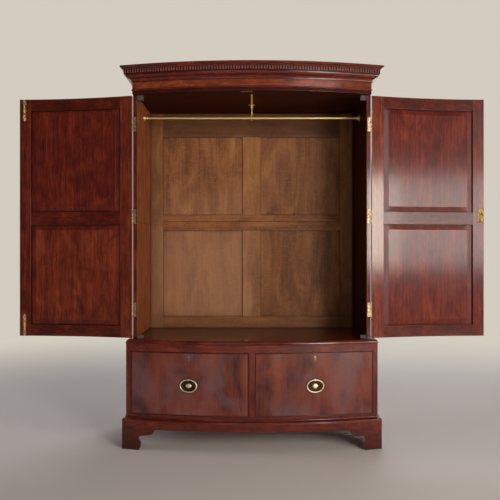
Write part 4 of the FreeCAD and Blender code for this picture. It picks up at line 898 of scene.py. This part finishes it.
class PRESS_OT_doors(bpy.types.Operator):
    """Door frames, fielded panels and panel mouldings"""
    bl_idname = "press.doors"
    bl_label = "Doors"

    def execute(self, context):
        for side in ("left", "right"):
            body = side + "_door"
            made = boards(body + "_frame", body,
                          lambda axis: [mahogany(axis, "dark" if axis == "across" else "polished"),
                                        mahogany(axis, "worn")])
            # The hinge stiles are from a paler board; every worn arris stays
            worn = {index for index, slot in enumerate(made.material_slots)
                    if slot.material.name.startswith("worn")}
            recoat(made, mahogany("upright", "warm"),
                   lambda f, at: abs(at.x) < HINGE_STILE_END and f.material_index not in worn)
            panels = boards(body + "_panels", body, mahoganies(), axis="upright",
                            arris=0.6 * MM)
            if side == "left":
                recoat(panels, mahogany("upright", "warm"), lambda f, at: at.z < DOOR_MIDDLE)
            # The slopes round the fields have lost their gloss
            low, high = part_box(body + "_panels")
            recoat(panels, mahogany("upright", "dulled"),
                   lambda f, at: f.normal.y < -0.5 and (
                       abs(f.normal.z) > 0.05
                       or not low.x + PANEL_SLOPE <= at.x <= high.x - PANEL_SLOPE))
            boards(body + "_mouldings", body, mahoganies(), arris=0.3 * MM)
        return {"FINISHED"}


class PRESS_OT_drawers(bpy.types.Operator):
    """Drawer fronts, cock beads and oak boxes"""
    bl_idname = "press.drawers"
    bl_label = "Drawers"

    def execute(self, context):
        for side in ("left", "right"):
            body = side + "_drawer"
            boards(body + "_front", body, mahoganies("figured", "figured"), axis="upright",
                   arris=0.5 * MM)
            # The cock beads are dark with old wax, and darker as painted shade for the shadow lines
            # round the drawers
            boards(body + "_cock_beads", body, mahoganies("grimed"), arris=1.0 * MM)
            boards(body + "_box", body, lambda axis: [drawer_lining(axis)] * 2,
                   "drawer_lining", arris=1.0 * MM)
        return {"FINISHED"}


class PRESS_OT_handles(bpy.types.Operator):
    """Stamped oval plates with their studs, and the oval bails"""
    bl_idname = "press.handles"
    bl_label = "Handles"

    def execute(self, context):
        # Rim, hollow, beaded oval and boss of a stamped plate, in millimetres
        rings = [(PLATE_WIDE, PLATE_TALL, 0), (PLATE_WIDE, PLATE_TALL, -1.2), (44.2, 32.7, -2.0),
                 (34, 24.5, -2.0), (33.5, 24.0, -3.2), (32.6, 23.1, -3.5), (31.6, 22.2, -3.3),
                 (31.0, 21.6, -2.8), (30.2, 20.9, -3.2), (29.3, 20.1, -2.8), (28.5, 19.4, -3.2),
                 (27.6, 18.6, -2.7), (19.0, 13.4, -2.6), (17.2, 12.4, -3.2), (16.4, 11.8, -3.4),
                 (15.4, 11.2, -3.2), (14.8, 10.9, -4.4), (13.9, 10.2, -5.8), (12.2, 9.0, -7.0),
                 (9.6, 7.1, -7.9), (6.2, 4.6, -8.35), (2.4, 1.8, -8.5)]
        bright = lacquered("rubbed_brass")
        for way, body in ((-1, "left_drawer"), (1, "right_drawer")):
            low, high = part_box(body + "_handle_ring")
            plate = coated(turned("stamped_plate", rings, 96), lacquered("tarnished_brass"))
            recoat(plate, bright, lambda f, at: out_on_plate(at) < PLATE_BOSS)
            eye = ring_of_wire("bail_eye", Vector((0, -7.15 * MM, 31.5 * MM)), 4.8 * MM,
                               (1.2 * MM, 3.9 * MM))
            stud = turned("stud", [(3, 0), (3, 28.4), (2.4, 29)], 24)
            nut = turned("nut", [(6.5, 24), (6.5, 27.3), (5.7, 28)], 6)
            made = joined(body + "_plate", plate, *[coated(part, bright)
                                                    for part in (eye, stud, nut)])
            made.matrix_world = at_bow(way * DRAWER_MIDDLE, CHEST_BOW, (low.z + high.z) / 2)
            smooth(made)
            settle(made, body, "aged_brass", body + "_handle_plate")
            paint("brass", bright, body + "_handle_ring")
        return {"FINISHED"}


class PRESS_OT_locks(bpy.types.Operator):
    """Locks, escutcheons and their bolts"""
    bl_idname = "press.locks"
    bl_label = "Locks"

    def execute(self, context):
        paint("brass", lacquered("scrubbed_brass"), "left_drawer_lock", "right_drawer_lock")
        paint("brass", lacquered("dull_brass"), "door_lock")
        paint("brass", lacquered("filed_iron"), "door_lock_bolt", "left_drawer_lock_bolt",
              "right_drawer_lock_bolt")
        return {"FINISHED"}


class PRESS_OT_hinges(bpy.types.Operator):
    """Butt hinges with their pins and screws"""
    bl_idname = "press.hinges"
    bl_label = "Hinges"

    def execute(self, context):
        paint("brass", lacquered("scrubbed_brass"), "case_hinge_leaves",
              "left_door_hinge_leaves", "right_door_hinge_leaves", "hinge_pins")
        paint("brass_screws", lacquered("scrubbed_brass"), "case_hinge_screws",
              "left_door_screws", "right_door_screws")
        return {"FINISHED"}


class PRESS_OT_bolts(bpy.types.Operator):
    """Top and bottom bolts of the left door, and their keeps"""
    bl_idname = "press.bolts"
    bl_label = "Door Bolts"

    def execute(self, context):
        paint("brass", lacquered("cast_brass"), "left_door_bolt_plates", "top_bolt",
              "bottom_bolt", "bolt_keeps")
        return {"FINISHED"}


class PRESS_OT_rail(bpy.types.Operator):
    """Hanging rail with its sockets and hanger"""
    bl_idname = "press.rail"
    bl_label = "Hanging Rail"

    def execute(self, context):
        brass = lacquered("drawn_brass")
        paint("brass", brass, "hanging_rail", "rail_hanger")
        low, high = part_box("hanging_rail")
        middle = (low + high) / 2
        sockets = []
        for way, wall in ((-1, low.x), (1, high.x)):
            socket = coated(turned("rail_socket", [
                (21, 0), (21, 2.0), (20.2, 3.2), (18.6, 3.9), (16, 4.0), (14.4, 4.3),
                (13.3, 5.4), (12.5, 7.5), (11.9, 12), (12.0, 15.5), (12.5, 17), (12.5, 18.6),
                (11.9, 19.7), (9.2, 20)], 48), brass)
            socket.matrix_world = placed((wall, middle.y, middle.z), way * math.pi / 2)
            sockets.append(socket)
        made = joined("turned_rail_sockets", *sockets)
        smooth(made)
        settle(made, "case", "brass", "rail_sockets")

        # Turned boss under the ceiling plate, round the rod of the hanger
        boss = coated(turned("hanger_boss", [
            (7.5, 0), (9.5, 1.5), (9.5, 3.0), (7.0, 4.2), (6.4, 5.6), (9.4, 8.0), (10.4, 10.5),
            (9.6, 13.0), (6.8, 15.0), (5.4, 16.0), (6.2, 17.5), (4.3, 19.0)], 32), brass)
        plate_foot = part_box("upper_ceiling_board")[0].z - HANGER_PLATE
        boss.matrix_world = placed((0.0, middle.y, plate_foot), -math.pi / 2, "X")
        smooth(boss)
        settle(boss, "case", "brass")
        return {"FINISHED"}


class PRESS_OT_stage(bpy.types.Operator):
    """Pale studio floor, plain room, soft lights and the camera"""
    bl_idname = "press.stage"
    bl_label = "Studio"

    def execute(self, context):
        settings = context.scene.press_stage
        self.floor(settings)
        for name, (azimuth, elevation, size, tint) in LIGHTS.items():
            lamp = bpy.data.lights.new(name, "AREA")
            lamp.energy, lamp.shape = getattr(settings, name), "RECTANGLE"
            lamp.size, lamp.size_y = size
            lamp.color = linear(tint)[:3]
            shown = bpy.data.objects.new(name, lamp)
            context.scene.collection.objects.link(shown)
            across, up = math.radians(azimuth), math.radians(elevation)
            way = Vector((math.sin(across) * math.cos(up), -math.cos(across) * math.cos(up),
                          math.sin(up)))
            shown.location = LIGHT_AIM + LIGHT_REACH * way
            turn = (LIGHT_AIM - shown.location).to_track_quat("-Z", "Y")
            shown.rotation_euler = turn.to_euler()
            shown.visible_camera = False

        # The room is plain to the camera, and behind the press to metal too; it lights evenly
        world = bpy.data.worlds.new("room")
        world.use_nodes = True
        room = world.node_tree
        room.nodes.clear()
        way = node(room, "TexCoord")["Generated"]
        even = node(room, "Background", {"Color": linear(ROOM_LIGHT), "Strength": settings.room})
        plain = node(room, "Background", {"Color": settings.wall, "Strength": 1.0})
        mixed = node(room, "MixShader", {
            0: shows_room(room, way, 0.0, 0.5), 1: even[0], 2: plain[0]})
        node(room, "OutputWorld", {"Surface": mixed[0]})
        context.scene.world = world

        lens = bpy.data.cameras.new("camera")
        lens.sensor_width, lens.lens, lens.clip_end = EYE_SENSOR, EYE_LENS, 60.0
        eye = bpy.data.objects.new("camera", lens)
        context.scene.collection.objects.link(eye)
        eye.location = EYE_PLACE
        eye.rotation_euler = (math.pi / 2, 0, 0)
        context.scene.camera = eye
        context.scene.view_settings.view_transform = "Standard"
        return {"FINISHED"}

    def floor(self, settings):
        """Disc of soft pale paper under the press, which fades into the plain room."""
        disc = primitive("studio_floor", "circle", vertices=96, radius=FLOOR_RADIUS,
                         fill_type="NGON", location=(0, 0, -FLOOR_DEEP))
        bpy.ops.object.transform_apply()
        edit(disc)
        extrude((0, 0, FLOOR_DEEP))
        leave_edit()
        made, tree = blank_material("studio_paper")
        place = node(tree, "TexCoord")["Object"]
        cloud = node(tree, "TexNoise", {"Vector": place, "Scale": 1.3, "Detail": 4.0})["Fac"]
        pale = [min(1.0, c * 1.06) for c in settings.floor[:3]] + [1.0]
        paper = node(tree, "BsdfPrincipled", {
            "Base Color": laid_over(tree, settings.floor, (cloud, pale)),
            "Roughness": 0.7, "Specular IOR Level": 0.0})       # soft paper, no glare
        away = node(tree, "VectorMath", {0: place}, operation="LENGTH")["Value"]
        far = node(tree, "MapRange", {"Value": away, "From Min": 1.9, "From Max": 5.0},
                   **SOFT_ENDS)[0]
        share = node(tree, "Math", {0: shows_room(tree, place, 0.4, 2.4), 1: far},
                     operation="MULTIPLY")[0]
        plain = node(tree, "Emission", {"Color": settings.wall, "Strength": 1.0})
        both = node(tree, "MixShader", {0: share, 1: paper[0], 2: plain[0]})
        node(tree, "OutputMaterial", {"Surface": both[0]})
        disc.data.materials.append(made)


# ---------------------------------------------------------------- panel and registration
class PRESS_PT_panel(bpy.types.Panel):
    """Lists the steps that finish the press"""
    bl_idname = "PRESS_PT_panel"
    bl_label = "Linen Press"
    bl_space_type = "VIEW_3D"
    bl_region_type = "UI"
    bl_category = "Press"

    def draw(self, context):
        for name, group in SETTINGS.items():
            part = self.layout.box()
            for key in group.__annotations__:
                part.prop(getattr(context.scene, name), key)
        for step in STEPS:
            self.layout.operator(step.bl_idname)


SETTINGS = {"press_wood": PressWood, "press_metal": PressMetal, "press_stage": PressStage}
STEPS = (PRESS_OT_carcass, PRESS_OT_back, PRESS_OT_mouldings, PRESS_OT_doors, PRESS_OT_drawers,
         PRESS_OT_handles, PRESS_OT_locks, PRESS_OT_hinges, PRESS_OT_bolts, PRESS_OT_rail,
         PRESS_OT_stage)


def register():
    for made in (*SETTINGS.values(), *STEPS, PRESS_PT_panel):
        bpy.utils.register_class(made)
    for name, group in SETTINGS.items():
        setattr(bpy.types.Scene, name, bpy.props.PointerProperty(type=group))


def unregister():
    for name in SETTINGS:
        delattr(bpy.types.Scene, name)
    for made in reversed((*SETTINGS.values(), *STEPS, PRESS_PT_panel)):
        bpy.utils.unregister_class(made)


def main():
    """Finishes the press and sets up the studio."""
    register()
    bpy.ops.press.carcass()
    bpy.ops.press.back()
    bpy.ops.press.mouldings()
    bpy.ops.press.doors()
    bpy.ops.press.drawers()
    bpy.ops.press.handles()
    bpy.ops.press.locks()
    bpy.ops.press.hinges()
    bpy.ops.press.bolts()
    bpy.ops.press.rail()
    bpy.ops.press.stage()


if __name__ == "__main__":
    main()
